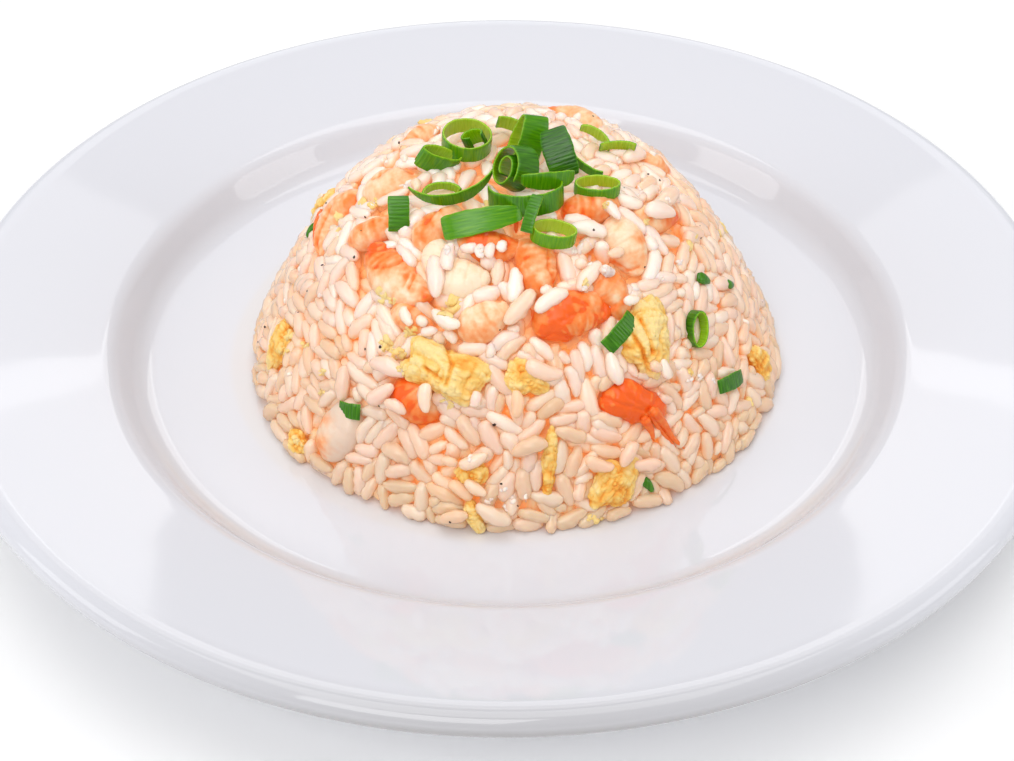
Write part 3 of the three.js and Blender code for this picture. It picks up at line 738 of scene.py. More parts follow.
def egg_cover(item, dome):
    """Three balls in a row that the grains of rice keep clear of."""
    origin, run, _, _ = dome.seat_of(item)
    reach = item.width / 2
    half = max(item.length / 2 - reach, 0)
    centres = origin + np.array([-half, 0, half])[:, None] * run
    return centres, np.full(3, reach * 0.92)


def topping_balls(dome):
    """Centres and radii of the balls that cover all toppings."""
    covers = [shrimp_cover(item, dome) for item in SHRIMPS]
    covers += [egg_cover(item, dome) for item in EGGS]
    centres, reaches = zip(*covers)
    return np.concatenate(centres), np.concatenate(reaches)


def shrimp_skin(item, dome, stage, seed):
    """A tube round the spine, a little flatter than round, with blunt ends. It is drawn in
    along slanting rings between the segments of the body and along its grooves, and pushed
    out by three sizes of seeded lumps. Blush gathers at its marks, beside its grooves and,
    for the rest, on the outer side."""
    along, around = ball_angles(SHRIMP_GRID)
    u = (1 - np.cos(along)) / 2 * 0.35 + along / np.pi * 0.65
    x, y, heading = shrimp_spine(item, u)
    outer = np.sin(around) * 0.5 + 0.5
    place = u * SHRIMP_SEGMENTS + SEGMENT_SLANT * np.cos(around + seed) + SEGMENT_SHIFT
    ring = np.exp(-(((place - np.round(place)) / SEGMENT_SEAM) ** 2))
    half = item.girth / 2 * shrimp_girth(u) ** SHRIMP_BLUNTNESS
    level = joined(u * item.length, np.cos(around) * item.girth / 2, np.sin(around) * 3.0)
    rough = item.rough
    layers = [(cell, even + more * rough, gain) for cell, even, more, gain in SHRIMP_LUMPS]
    lumps = layered(lattice_noise, level, seed, layers)
    lumps = lumps - (SEAM_DEPTH + SEAM_DEPTH_OF_ROUGHNESS * rough) * ring * outer
    origin, *directions = dome.seat_of(item)

    def placed(radius):
        """The tube's points at that radius from its spine."""
        return laid_out(
            origin, directions,
            x - np.sin(heading) * np.cos(around) * radius,
            y + np.cos(heading) * np.cos(around) * radius,
            np.sin(around) * radius * SHRIMP_FLATNESS,
        )

    pixels = pixels_of(placed(half), stage)
    front = spots_share(pixels, item.marks)
    grooves = lines_share(pixels, item.lines, SHRIMP_GROOVE_PIXELS)
    taper = np.minimum(half / 2, 1)
    radius = half + (lumps - SHRIMP_GROOVE_DEPTH * grooves) * taper
    skin = placed(np.maximum(radius, LEAST_RADIUS))
    first, last = (
        laid_out(origin, directions, *shrimp_spine(item, np.array([end]))[:2])
        for end in (0.0, 1.0)
    )
    points = np.concatenate([first, skin.reshape(-1, 3), last])

    blush = item.blush * (INNER_BLUSH + OUTER_BLUSH * outer)
    blush = blush + SEAM_BLUSH * ring * outer + GROOVE_BLUSH * grooves
    blush = blush + item.tail * ramp(u, TAIL_START, TAIL_LENGTH) ** 2 + front
    mottle = layered(lattice_noise, level, seed, SHRIMP_MOTTLES)
    blush = blush + (MOTTLE + MOTTLE_OF_ROUGHNESS * rough) * mottle
    streaks = lattice_noise(level * STREAK_STRETCH, STREAK_CELL, seed + 5)
    blush = blush + STREAK_SHARE * np.clip(blush, 0, MOST_STREAKED) * streaks
    blush = np.clip(blush, 0, MOST_BLUSH)
    clear = item.clear * np.clip(1 - 3 * np.clip(front, 0, 1), 0, 1)
    return points, with_poles(blush), with_poles(clear)


# ------------------------------------------------------------------ egg


EGG_GRID = (104, 112)
EGG_LOBES = 0.16
# Curds by cell size, height and what the seed gains.
EGG_CURDS = ((3.6, 0.7, 0), (1.8, 0.65, 1), (0.95, 0.42, 4))
MEAN_CURD, POLE_DIP = 0.85, 0.3
EGG_GROOVE_PIXELS, EGG_GROOVE_DEPTH = 2.2, 0.8
# Painted shade in the egg's creases: amber by crease, less on bumps, by patch, and patch size.
CREASE_AMBER, BUMP_AMBER, PATCH_AMBER, AMBER_PATCH = 0.62, 0.5, 0.15, 4.0
# The turn of each curd's lobes from one seed to the next: about the golden angle.
EGG_TURN = 2.399963


def egg_skin(item, dome, stage, seed):
    """A flattened ball with lobes round its edge, pushed out by three sizes of billow noise
    to the bumps and creases of scrambled egg. Creases are painted a deeper amber, as shade."""
    along, around = ball_angles(EGG_GRID)
    unit = unit_ball(EGG_GRID)
    phase = (seed * EGG_TURN) % TAU
    lobes = 1 + EGG_LOBES * np.sin(along) * np.sin(item.folds * around + phase)
    half = np.array([item.length, item.width, item.height]) / 2
    local = unit * half * joined(lobes, lobes, 1)
    origin, *directions = dome.seat_of(item)
    basis = np.stack(directions)
    pixels = pixels_of(origin + local @ basis, stage)
    grooves = lines_share(pixels, item.lines, EGG_GROOVE_PIXELS)
    bumps = layered(billow, local, seed, EGG_CURDS) - EGG_GROOVE_DEPTH * grooves
    local = local + unit * (bumps - MEAN_CURD)[..., None]
    skin = origin + local @ basis
    poles = [origin + basis[2] * sign * (item.height / 2 - POLE_DIP) for sign in (1, -1)]
    points = np.concatenate([poles[0][None], skin.reshape(-1, 3), poles[1][None]])
    # Painted shade: deeper amber in the creases and paler on the bumps.
    depth = CREASE_AMBER - BUMP_AMBER * bumps + item.amber
    depth = depth + PATCH_AMBER * lattice_noise(local, AMBER_PATCH, seed + 3)
    return points, with_poles(np.clip(depth + spots_share(pixels, item.marks), 0, 1))


# ------------------------------------------------------------------ scallion


LEAF_GRID = (120, 20)
LEAF_SQUARENESS = 0.45
RIB_SPACING, RIB_HEIGHT = 0.8, 0.027
# Wavers of the cut edges by height, turn to the millimetre and times the seed.
WAVERS = ((0.1, 1.1, 1), (0.06, 2.7, 2))
THINNEST = 0.75
INNER_LIGHT, CUT_LIGHT, MOST_LIGHT, DARKNESS = 0.5, 0.1, 0.3, 0.4
CUT_FROM, CUT_OVER = 0.44, 0.06


def leaf_frame(item, dome):
    """Origin and axes of a slice: set by its leaf's axis, or lying with its outer face up."""
    if item.at is None:
        origin, run, side, outward = dome.frames(item.bearing, item.down, item.lift, item.turn)
        return origin, np.stack([run, outward, -side])
    up = np.array(item.axis, dtype=float)
    up /= np.linalg.norm(up)
    run = np.array(item.along, dtype=float)
    run -= up * run.dot(up)
    run /= np.linalg.norm(run)
    return np.array(item.at, dtype=float), np.stack([run, np.cross(up, run), up])


def leaf_skin(item, dome, wall, seed):
    """The slice's section, a rounded rectangle as thick as the leaf's wall and as wide as
    the slice, is carried round the ellipse. Its faces are ribbed along the leaf's axis and
    its cut edges waver a little. Green is lighter on the inner face and at the cuts. The map
    is in millimetres across the ribs and along them."""
    steps, sides = LEAF_GRID
    sweep = item.end - item.start
    u = np.linspace(0, 1, steps, endpoint=sweep != 360)[:, None]
    angle = np.radians(item.start + sweep * u)
    around = TAU * (np.arange(sides) + 0.5) / sides
    through, over = (
        0.5 * np.sign(part) * np.abs(part) ** LEAF_SQUARENESS
        for part in (np.cos(around), np.sin(around))
    )
    draw_in = 1 - item.shrink * u
    point = 1 - item.taper * np.abs(2 * u - 1) ** 2
    ellipse = np.hypot(item.a * np.sin(angle), item.b * np.cos(angle))
    arc = np.cumsum(ellipse * abs(math.radians(sweep) / steps), axis=0)
    waver = sum(height * np.sin(arc * turn + times * seed) for height, turn, times in WAVERS)
    rise = over * (item.width * point + waver)
    across, lengthways = (rise, arc) if item.lengthwise else (arc, rise)
    ribs = np.cos(TAU * across / RIB_SPACING + 1.2 * np.sin(across * 0.9 + seed))
    shift = through * wall * (THINNEST + (1 - THINNEST) * point) + item.lean * rise
    shift = shift + RIB_HEIGHT * ribs * np.sign(through)
    normal_x = np.cos(angle) / item.a
    normal_y = np.sin(angle) / item.b
    size = np.hypot(normal_x, normal_y)
    x = item.a * draw_in * np.cos(angle) + shift * normal_x / size
    y = item.b * draw_in * np.sin(angle) + shift * normal_y / size
    origin, basis = leaf_frame(item, dome)
    skin = origin + joined(x, y, rise) @ basis
    inner = np.clip(0.5 - through / 0.5 * 0.6, 0, 1)
    cut = ramp(np.abs(over), CUT_FROM, CUT_OVER)
    inside = inner * INNER_LIGHT + cut * CUT_LIGHT + (MOST_LIGHT - DARKNESS * item.depth) + 0 * u
    return skin, inside, joined(across, lengthways)


def put_leaf(item, skin, inside, flat, material):
    """A slice's piece. A whole ring closes on itself, and a band ends in a fan at each end."""
    name = f"{item.name}_leaf"
    steps, sides = LEAF_GRID
    if item.end - item.start == 360:
        row, side = np.arange(steps)[:, None] * sides, np.arange(sides)
        next_row, next_side = (row + sides) % (steps * sides), (side + 1) % sides
        quads = joined(row + side, row + next_side, next_row + next_side, next_row + side)
        return put_mesh(
            name, skin.reshape(-1, 3), quads, [], material, flat.reshape(-1, 2),
            inside=inside.ravel(),
        )
    points = np.concatenate([skin[:1].mean(1), skin.reshape(-1, 3), skin[-1:].mean(1)])
    flat = flat.reshape(-1, 2)
    flat = np.concatenate([flat[:1], flat, flat[-1:]])
    inside = inside.ravel()
    inside = np.concatenate([inside[:1], inside, inside[-1:]])
    return put_skins(name, points, LEAF_GRID, material, flat, inside=inside)


# ------------------------------------------------------------------ grains of rice


def nearest_on_segments(p, d, q, e):
    """For each pair of segments, from p along d and from q along e, the shares along them at
    which they come nearest, by clamping the least squares answer to both lengths."""
    between = p - q
    dd, ee, de, eb, db = (
        np.einsum("ij,ij->i", one, other)
        for one, other in ((d, d), (e, e), (d, e), (e, between), (d, between))
    )
    s = np.clip((de * eb - db * ee) / np.maximum(dd * ee - de * de, 1e-9), 0, 1)
    t = np.clip((de * s + eb) / ee, 0, 1)
    return np.clip((de * t - db) / dd, 0, 1), t


def near_pairs(centres, reach):
    """Numbers of all pairs of points within reach of each other."""
    squared = (centres**2).sum(-1)
    apart = squared[:, None] + squared[None, :] - 2 * centres @ centres.T
    first, second = np.nonzero(np.triu(apart < reach * reach, 1))
    return first, second


# Settled grains press into one another: they come as near as this share of their widths.
# The moves are shares of what is still wanted in a round, and clearances shares of a width.
SQUEEZE = 0.82
SETTLE_ROUNDS, PAIR_ROUNDS, PAIR_REACH = 44, 8, 9.5
PUSH, SHOVE, DRAW, LONGEST_MOVE = 0.7, 0.5, 0.14, 1.2
TOPPING_CLEARANCE, OUTLINE_CLEARANCE, FLOOR_CLEARANCE = 0.46, 0.28, 0.42
FLOOR_GAP = 0.15
TINY = 1e-6


def settle(ends, widths, depths, held, balls, dome):
    """Pushes grains, as rods with round ends, out of one another and out of the toppings.
    Held grains stay. Each keeps its length and is drawn to its own depth under the outline,
    and none goes through the floor of the plate."""
    lengths = np.linalg.norm(ends[:, 1] - ends[:, 0], axis=-1)
    give = np.where(held, 0.0, 1.0)
    centres, reaches = balls
    for turn in range(SETTLE_ROUNDS):
        if turn % PAIR_ROUNDS == 0:
            first, second = near_pairs(ends.mean(1), PAIR_REACH)
        moves = np.zeros_like(ends)
        span = ends[:, 1] - ends[:, 0]
        s, t = nearest_on_segments(ends[first, 0], span[first], ends[second, 0], span[second])
        near = ends[first, 0] + s[:, None] * span[first]
        far = ends[second, 0] + t[:, None] * span[second]
        between = near - far
        apart = np.linalg.norm(between, axis=-1)
        wanted = (widths[first] + widths[second]) / 2 * SQUEEZE
        total = np.maximum(give[first] + give[second], TINY)
        push = np.clip(wanted - apart, 0, None)[:, None] * between / (apart[:, None] + TINY)
        for grains, share, sign in ((first, s, 1), (second, t, -1)):
            own = sign * push * (give[grains] / total)[:, None] * PUSH
            np.add.at(moves[:, 0], grains, own * (1 - share)[:, None])
            np.add.at(moves[:, 1], grains, own * share[:, None])

        offset = centres[None] - ends[:, None, 0]
        share = np.einsum("nkj,nj->nk", offset, span) / (lengths**2)[:, None]
        share = np.clip(share, 0, 1)
        away = ends[:, None, 0] + share[..., None] * span[:, None] - centres[None]
        reach = np.linalg.norm(away, axis=-1)
        deep = np.clip(reaches[None] + widths[:, None] * TOPPING_CLEARANCE - reach, 0, None)
        shove = (deep / (reach + TINY))[..., None] * away * SHOVE
        moves[:, 0] += (shove * (1 - share)[..., None]).sum(1)
        moves[:, 1] += (shove * share[..., None]).sum(1)

        radial = dome.away_from_middle(ends)
        moves += radial * ((depths[:, None] - dome.lift_of(ends)) * DRAW)[..., None]
        ends = ends + np.clip(moves, -LONGEST_MOVE, LONGEST_MOVE) * give[:, None, None]

        over = np.clip(dome.lift_of(ends) + widths[:, None] * OUTLINE_CLEARANCE, 0, None)
        ends -= radial * (over * give[:, None])[..., None]
        floor = WELL_FLOOR + FLOOR_GAP + widths[:, None] * FLOOR_CLEARANCE
        ends[..., 2] = np.maximum(ends[..., 2], floor)
        middle = ends.mean(1)
        run = ends[:, 1] - ends[:, 0]
        run *= (lengths / np.linalg.norm(run, axis=-1))[:, None] / 2
        ends = np.stack([middle - run, middle + run], 1)
    return ends


DOWN_SPREAD, BEARING_SPREAD, DEPTH_SPREAD, TILT_SPREAD = 1.5, 2, 0.5, 0.22
CROWN_EDGE, FOOT_EDGE = 0.5, 1


def scatter(count, dome, rng):
    """Places over the dome at equal shares of its area, on a golden-angle spiral, each moved
    a little at random."""
    strip = np.diff(dome.down) * (dome.radius[1:] + dome.radius[:-1])
    share = np.concatenate([[0], np.cumsum(strip)])
    down = np.interp((np.arange(count) + 0.5) / count * share[-1], share, dome.down)
    down = down + rng.uniform(-DOWN_SPREAD, DOWN_SPREAD, count)
    bearing = np.arange(count) * 180 * (3 - math.sqrt(5))
    bearing = bearing + rng.uniform(-BEARING_SPREAD, BEARING_SPREAD, count)
    return bearing, np.clip(down, CROWN_EDGE, dome.down[-1] - FOOT_EDGE)


def loose_ends(count, depth, lengths, widths, dome, rng):
    """Rods set out over the dome at that depth, turned every way and tilted a little."""
    bearing, down = scatter(count, dome, rng)
    lift = depth + rng.uniform(-DEPTH_SPREAD, DEPTH_SPREAD, count)
    origin, run, _, outward = dome.frames(bearing, down, lift, rng.uniform(0, 180, count))
    tilt = rng.normal(0, TILT_SPREAD, count)[:, None]
    axis = run * np.cos(tilt) + outward * np.sin(tilt)
    half = ((lengths - widths) / 2)[:, None]
    return np.stack([origin - axis * half, origin + axis * half], 1)


# Grains listed one by one where they show best, each from tip to tip, as (x, y, x, y) in pixels
# of the camera's frame: the middle of the front, its foot, the right, the top and the left. The
# rest are scattered round them.
PLACED_GRAINS = [
    (433, 255, 436, 298), (451, 243, 447, 270), (460, 248, 477, 247), (480, 244, 481, 258),
    (492, 243, 489, 258), (504, 241, 500, 251), (499, 259, 496, 286), (515, 267, 513, 303),
    (534, 290, 505, 324), (568, 291, 535, 311), (540, 290, 553, 291), (507, 330, 520, 328),
    (526, 337, 498, 362), (492, 342, 489, 359), (487, 363, 515, 396), (526, 363, 563, 375),
    (530, 338, 553, 361), (559, 352, 571, 362), (567, 366, 577, 397), (581, 341, 587, 372),
    (594, 344, 605, 379), (609, 352, 620, 385), (585, 378, 596, 417), (417, 319, 427, 323),
    (432, 310, 460, 326), (490, 383, 488, 403), (502, 393, 498, 414), (516, 390, 516, 418),
    (477, 391, 473, 407), (557, 391, 526, 410), (460, 408, 492, 413), (561, 251, 572, 286),
    (402, 307, 411, 325), (421, 333, 438, 330), (444, 331, 456, 343), (575, 262, 588, 266),
    (600, 262, 578, 290), (600, 268, 612, 275), (596, 241, 577, 254),
    (458, 414, 479, 445), (482, 421, 501, 454), (445, 426, 468, 449), (428, 452, 448, 442),
    (459, 466, 487, 454), (545, 419, 517, 442), (511, 454, 548, 443), (506, 450, 507, 470),
    (562, 439, 555, 474), (579, 445, 566, 478), (574, 484, 593, 474), (539, 459, 536, 492),
    (590, 429, 622, 439), (588, 418, 622, 423), (591, 446, 622, 453), (586, 459, 614, 468),
    (555, 430, 586, 439), (549, 421, 579, 416), (426, 484, 463, 505), (476, 505, 511, 523),
    (440, 520, 468, 515), (517, 512, 552, 520), (555, 525, 588, 509), (538, 499, 555, 515),
    (554, 508, 567, 506), (637, 442, 622, 467), (428, 506, 434, 523), (423, 481, 421, 513),
    (441, 459, 458, 464), (424, 459, 435, 474), (465, 481, 486, 495), (449, 482, 472, 499),
    (684, 341, 689, 346), (692, 353, 711, 354), (651, 363, 661, 370), (671, 365, 692, 362),
    (663, 359, 670, 379), (668, 385, 680, 389), (699, 382, 683, 400), (699, 391, 682, 410),
    (660, 397, 672, 400), (704, 408, 692, 416), (680, 420, 673, 436), (698, 432, 682, 458),
    (705, 432, 707, 460), (660, 447, 677, 473), (633, 466, 661, 463), (654, 476, 683, 489),
    (633, 501, 661, 504), (736, 417, 730, 441), (759, 414, 748, 432), (752, 403, 733, 407),
    (724, 460, 712, 472), (740, 441, 734, 451), (715, 423, 724, 429), (651, 439, 642, 452),
    (720, 442, 715, 455), (645, 283, 656, 250), (670, 253, 663, 278), (641, 297, 672, 283),
    (624, 301, 639, 298), (664, 311, 683, 302), (672, 279, 686, 281), (676, 293, 684, 291),
    (659, 240, 678, 243), (608, 255, 623, 250), (603, 271, 615, 273), (686, 242, 680, 271),
    (694, 301, 696, 281),
    (625, 159, 643, 153), (603, 164, 619, 171), (625, 187, 639, 176), (617, 195, 643, 206),
    (654, 206, 675, 190), (646, 210, 675, 214), (414, 181, 417, 190), (570, 227, 607, 233),
    (579, 253, 599, 237), (605, 202, 620, 219), (578, 140, 591, 147),
    (380, 301, 401, 337), (375, 318, 387, 355), (366, 328, 362, 357), (348, 364, 379, 388),
    (370, 362, 405, 375), (393, 385, 368, 402), (355, 387, 360, 402), (361, 411, 388, 415),
    (384, 402, 406, 413), (426, 383, 426, 413), (345, 365, 341, 401), (375, 291, 355, 319),
    (351, 262, 356, 291), (337, 283, 357, 306), (319, 322, 337, 337), (322, 342, 341, 357),
    (343, 334, 350, 352), (323, 359, 332, 380),
]
PLACED_LIFT, PLACED_ROUNDS, PLACED_STEP, PLACED_CLEARANCE = -0.9, 7, 0.8, 0.8
WIDTH_AT_NO_LENGTH, WIDTH_PER_LENGTH, PLACED_WIDTHS = 0.9, 0.32, (2.3, 3.9)


def placed_ends(dome, stage, balls):
    """The listed grains as rods on the dome, raised until they clear the toppings, with
    their widths and how far each was raised."""
    pixels = np.array(PLACED_GRAINS, dtype=float).reshape(-1, 2, 2)
    lift = np.full(len(pixels), PLACED_LIFT)
    centres, reaches = balls
    for _ in range(PLACED_ROUNDS):
        tips = seen_on_dome(dome, stage, pixels, lift[:, None])
        apart = np.linalg.norm(three_places(tips)[:, :, None] - centres, axis=-1)
        deep = (reaches * 0.9 + PLACED_CLEARANCE - apart).max((1, 2))
        lift += np.clip(deep, 0, LONGEST_MOVE) * PLACED_STEP
    length = np.linalg.norm(tips[:, 1] - tips[:, 0], axis=-1)
    widths = np.clip(WIDTH_AT_NO_LENGTH + WIDTH_PER_LENGTH * length, *PLACED_WIDTHS)
    span = (tips[:, 1] - tips[:, 0]) / length[:, None]
    draw_in = (np.minimum(widths, length * 0.8) / 2)[:, None] * span
    return np.stack([tips[:, 0] + draw_in, tips[:, 1] - draw_in], 1), widths, lift


def three_places(ends):
    """Both ends and the middle of each rod."""
    return np.stack([ends[:, 0], ends.mean(1), ends[:, 1]], 1)


GRAIN_GRID = (8, 8)
GRAIN_FULLNESS, GRAIN_UNEVENNESS, CREASE_WIDTH, TIP_REACH = 0.55, 0.08, 0.3, 1.02
# The least and the most that a grain may draw.
TWISTS, BLUNTNESSES, SKEWS, CREASES = (-0.5, 0.5), (0.5, 0.88), (-0.24, 0.24), (0.0, 0.16)
BENDS, FLATNESSES = (-0.09, 0.09), (0.78, 0.98)


def grain_skins(ends, widths, dome, rng):
    """A closed skin round every rod. Its radius falls to the tips as a power of a sine, more
    to one end than the other. It is bent, flatter than round, creased along one side and a
    little uneven, each by its own seeded share."""
    count = len(ends)

    def share(low, high):
        return rng.uniform(low, high, count)[:, None, None]

    span = ends[:, 1] - ends[:, 0]
    rod = np.linalg.norm(span, axis=-1, keepdims=True)
    axis = span / rod
    middle = ends.mean(1)
    side = np.cross(middle - dome.middle, axis)
    side /= np.linalg.norm(side, axis=-1, keepdims=True)
    top = np.cross(axis, side)
    along, around = ball_angles(GRAIN_GRID)
    s = -np.cos(along)[None]
    angle = around[None] + share(*TWISTS)
    profile = np.sin(along)[None] ** share(*BLUNTNESSES) * (1 + share(*SKEWS) * s)
    crease_depth, crease_turn = share(*CREASES), share(0, TAU)
    fold = np.exp(-((np.sin(angle / 2 - crease_turn) / CREASE_WIDTH) ** 2))
    crease = 1 - crease_depth * fold
    uneven = 1 + GRAIN_UNEVENNESS * rng.normal(size=(count, *GRAIN_GRID))
    half = widths[:, None, None] * GRAIN_FULLNESS * profile * crease * uneven
    length = (rod[:, 0] + widths)[:, None, None]
    x = length / 2 * s + 0 * angle
    bend = share(*BENDS) * length * (1 - s * s)
    y = half * np.cos(angle) + bend
    z = half * share(*FLATNESSES) * np.sin(angle)
    skin = middle[:, None, None] + joined(x, y, z) @ np.stack([axis, side, top], 1)[:, None]
    tips = [middle + sign * axis * (rod + widths[:, None]) / 2 * TIP_REACH for sign in (-1, 1)]
    return np.concatenate([tips[0][:, None], skin.reshape(count, -1, 3), tips[1][:, None]], 1)


# Where egg and shrimp have oiled the rice between them: spots (x, y, reach, share), in pixels.
OIL_MARKS = [
    (350, 335, 22, 0.6), (292, 345, 24, 0.7), (398, 330, 18, 0.9), (420, 395, 26, 0.7),
    (455, 300, 18, 0.6), (430, 435, 22, 0.7), (458, 480, 26, 0.9), (525, 395, 30, 0.8),
    (600, 400, 22, 0.6), (575, 285, 24, 0.7), (600, 468, 26, 0.6), (650, 430, 20, 0.8),
    (640, 325, 20, 0.6), (655, 165, 24, 0.7), (748, 345, 16, 0.6), (560, 350, 20, 0.5),
    (480, 330, 20, 0.5), (305, 440, 18, 0.6), (690, 220, 20, 0.5), (690, 372, 16, 0.4),
]
BACK_OF_MARKS = 25.0
# Depth under the outline, in millimetres, where the grains' painted warm shade starts and the
# length over which it grows.
DEEP_FROM, DEEP_OVER = 0.4, 3.0


def put_grains(name, material, ends, widths, tones, dome, stage, rng):
    """A piece of many grains. Tone is each grain's own, depth grows under the outline and
    carries the grains' painted warm shade, and oil is what the marks leave, most of it deep
    down, on the side that the camera sees."""
    points = grain_skins(ends, widths, dome, rng)
    stride = points.shape[1]
    # Painted shade: grains deeper under the outline are painted warmer and darker.
    sunk = ramp(-dome.lift_of(points), DEEP_FROM, DEEP_OVER).ravel()
    middles = points.mean(1)
    oil = np.clip(spots_share(pixels_of(middles, stage), OIL_MARKS), 0, 1)
    oil = np.repeat(oil * (middles[:, 1] < BACK_OF_MARKS), stride) * np.clip(0.25 + sunk, 0, 1)
    tone = np.repeat(tones, stride)
    return put_skins(name, points, GRAIN_GRID, material, tone=tone, depth=sunk, oil=oil)


# The part of the heap, in the camera's pixels, that is mostly toppings. Two in five of the
# settled grains are left out there, and the mass under them stands higher.
TOPPING_ZONE = [
    (338, 200), (372, 150), (430, 128), (520, 190), (600, 196), (692, 212), (672, 262),
    (622, 290), (612, 352), (540, 352), (500, 345), (456, 350), (425, 312), (362, 304),
    (344, 262),
]
OUTER_DEPTH, INNER_DEPTH = -1.45, -4.1
WIDTH_SPREAD, WIDTH_RANGE = 0.26, (2.7, 4.0)
LENGTH_SPREAD, LENGTH_RANGE = 0.8, (5.8, 9.4)
BURIED = -0.9


def rice_rods(settings, stage, dome, rng):
    """All grains of the heap as settled rods, with their widths."""
    balls = topping_balls(dome)
    laid, laid_widths, laid_lift = placed_ends(dome, stage, balls)
    rods, widths, depths = [laid], [laid_widths], [laid_lift]
    layers = ((settings.outer_grains, OUTER_DEPTH), (settings.inner_grains, INNER_DEPTH))
    for count, depth in layers:
        width = rng.normal(settings.grain_width / MM, WIDTH_SPREAD, count).clip(*WIDTH_RANGE)
        length = rng.normal(settings.grain_length / MM, LENGTH_SPREAD, count)
        length = length.clip(*LENGTH_RANGE)
        rods.append(loose_ends(count, depth, length, width, dome, rng))
        widths.append(width)
        depths.append(depth + rng.uniform(-DEPTH_SPREAD, DEPTH_SPREAD, count))
    ends, widths, depths = (np.concatenate(parts) for parts in (rods, widths, depths))
    number = np.arange(len(ends))
    held = number < len(laid)
    ends = settle(ends, widths, depths, held, balls, dome)
    apart = np.linalg.norm(three_places(ends)[:, :, None] - balls[0], axis=-1) - balls[1]
    buried = (apart.min(-1) < BURIED).all(1)
    middle = ends.mean(1)
    crowding = within(pixels_of(middle, stage), TOPPING_ZONE) & (number % 5 < 2)
    crowding &= number < len(laid) + settings.outer_grains
    crowding &= facing_camera(middle, middle - dome.middle, stage)
    keep = held | ~(buried | crowding)
    return ends[keep], widths[keep]


# Where shrimp has coloured the mass under the grains: spots (x, y, reach, share), in pixels.
CORE_MARKS = [
    (485, 243, 26, 0.9), (445, 290, 12, 0.5), (515, 300, 14, 0.8), (530, 318, 10, 0.9),
    (575, 285, 12, 0.4), (600, 240, 12, 0.5), (420, 215, 10, 0.3), (425, 150, 20, 0.3),
    (430, 420, 12, 0.7), (415, 335, 12, 0.5), (650, 425, 14, 0.6), (650, 255, 10, 0.5),
]
CORE_GRID = (170, 360)
CORE_DEPTH, CORE_RISE, CORE_GAP = 5.4, 1.0, 0.3
CORE_BUMP, CORE_BUMP_HEIGHT, CORE_GRIT, CORE_GRIT_HEIGHT = 3.1, 1.5, 1.6, 0.5
RAISED_JUICE, JUICE_PATCH, PATCH_JUICE = 0.16, 6.0, 0.1
SMOOTHING_ROUNDS = 4


def core_skin(dome, stage):
    """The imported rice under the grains: the dome's outline drawn in, with bumps the size of
    grains, closed by a flat underside just above the well. It stands higher between the
    toppings, and juice is where they have coloured it."""
    rings, sides = CORE_GRID
    down = np.linspace(0.4, dome.down[-1], rings)[:, None]
    bearing = np.linspace(0, 360, sides, endpoint=False)[None, :]
    origin, _, _, outward = dome.frames(bearing, down)
    pixels = pixels_of(origin, stage)
    front = facing_camera(origin, outward, stage)
    raised = (within(pixels, TOPPING_ZONE) & front).astype(float)
    for _ in range(SMOOTHING_ROUNDS):
        raised = (raised + np.roll(raised, 1, 1) + np.roll(raised, -1, 1)) / 3
        raised[1:-1] = (raised[:-2] + raised[1:-1] + raised[2:]) / 3
    bumps = CORE_BUMP_HEIGHT * billow(origin * [1, 1, 1.3], CORE_BUMP, 71)
    bumps = bumps + CORE_GRIT_HEIGHT * lattice_noise(origin, CORE_GRIT, 72)
    lift = bumps - CORE_DEPTH + CORE_RISE * raised
    points = origin + dome.away_from_middle(origin) * lift[..., None]
    floor = WELL_FLOOR + CORE_GAP
    points[..., 2] = np.maximum(points[..., 2], floor)
    juice = RAISED_JUICE * raised + PATCH_JUICE * lattice_noise(origin, JUICE_PATCH, 73)
    juice = juice + spots_share(pixels, CORE_MARKS) * front
    top, bottom = points[0].mean(0), np.array([DOME_CENTRE_X, 0, floor])
    points = np.concatenate([top[None], points.reshape(-1, 3), bottom[None]])
    return points, with_poles(np.clip(juice, 0, 1))


# ------------------------------------------------------------------ crumbs and specks


# Small things where they show, as (x, y, reach) in the camera's pixels.
PEPPER_SPOTS = [
    (399, 143, 1.3), (450, 110, 1.3), (437, 114, 1.3), (326, 203, 1.3), (365, 217, 1.3),
    (594, 230, 1.9), (593, 116, 1.3), (645, 267, 1.3), (648, 174, 1.3), (660, 180, 1.3),
    (701, 238, 1.3), (307, 291, 1.3), (322, 265, 1.3), (354, 257, 1.3), (380, 347, 1.9),
    (365, 349, 1.3), (258, 342, 1.3), (265, 327, 1.3), (379, 406, 1.3), (494, 425, 2.5),
    (450, 522, 1.3), (518, 506, 1.3), (501, 484, 1.5), (500, 330, 1.5),
]
EGG_CRUMBS = [
    (396, 356, 8), (402, 368, 7), (388, 346, 6),
    (453, 303, 11), (446, 312, 6), (376, 204, 7), (384, 296, 8), (392, 302, 6), (390, 345, 8),
    (400, 352, 6), (411, 332, 7), (585, 283, 4), (690, 372, 4), (305, 345, 5), (322, 372, 5),
    (297, 440, 6), (606, 205, 4), (600, 522, 7), (590, 519, 5), (290, 336, 7), (284, 350, 6),
    (648, 222, 5), (500, 202, 10), (486, 208, 8), (322, 392, 4), (446, 398, 5), (450, 406, 4),
]
RICE_CRUMBS = [
    (470, 457, 5), (503, 490, 6), (490, 501, 5), (512, 499, 5), (526, 498, 5), (505, 508, 5),
    (700, 378, 5), (714, 381, 4), (690, 380, 4), (571, 238, 5), (590, 262, 6), (604, 268, 6),
    (585, 290, 5), (575, 252, 5), (480, 250, 5), (447, 250, 6), (640, 190, 5), (668, 200, 5),
    (618, 160, 5), (600, 143, 5), (575, 118, 6), (548, 120, 6), (470, 120, 5), (437, 130, 5),
    (385, 162, 5), (680, 262, 5), (662, 278, 4), (404, 186, 5),
]


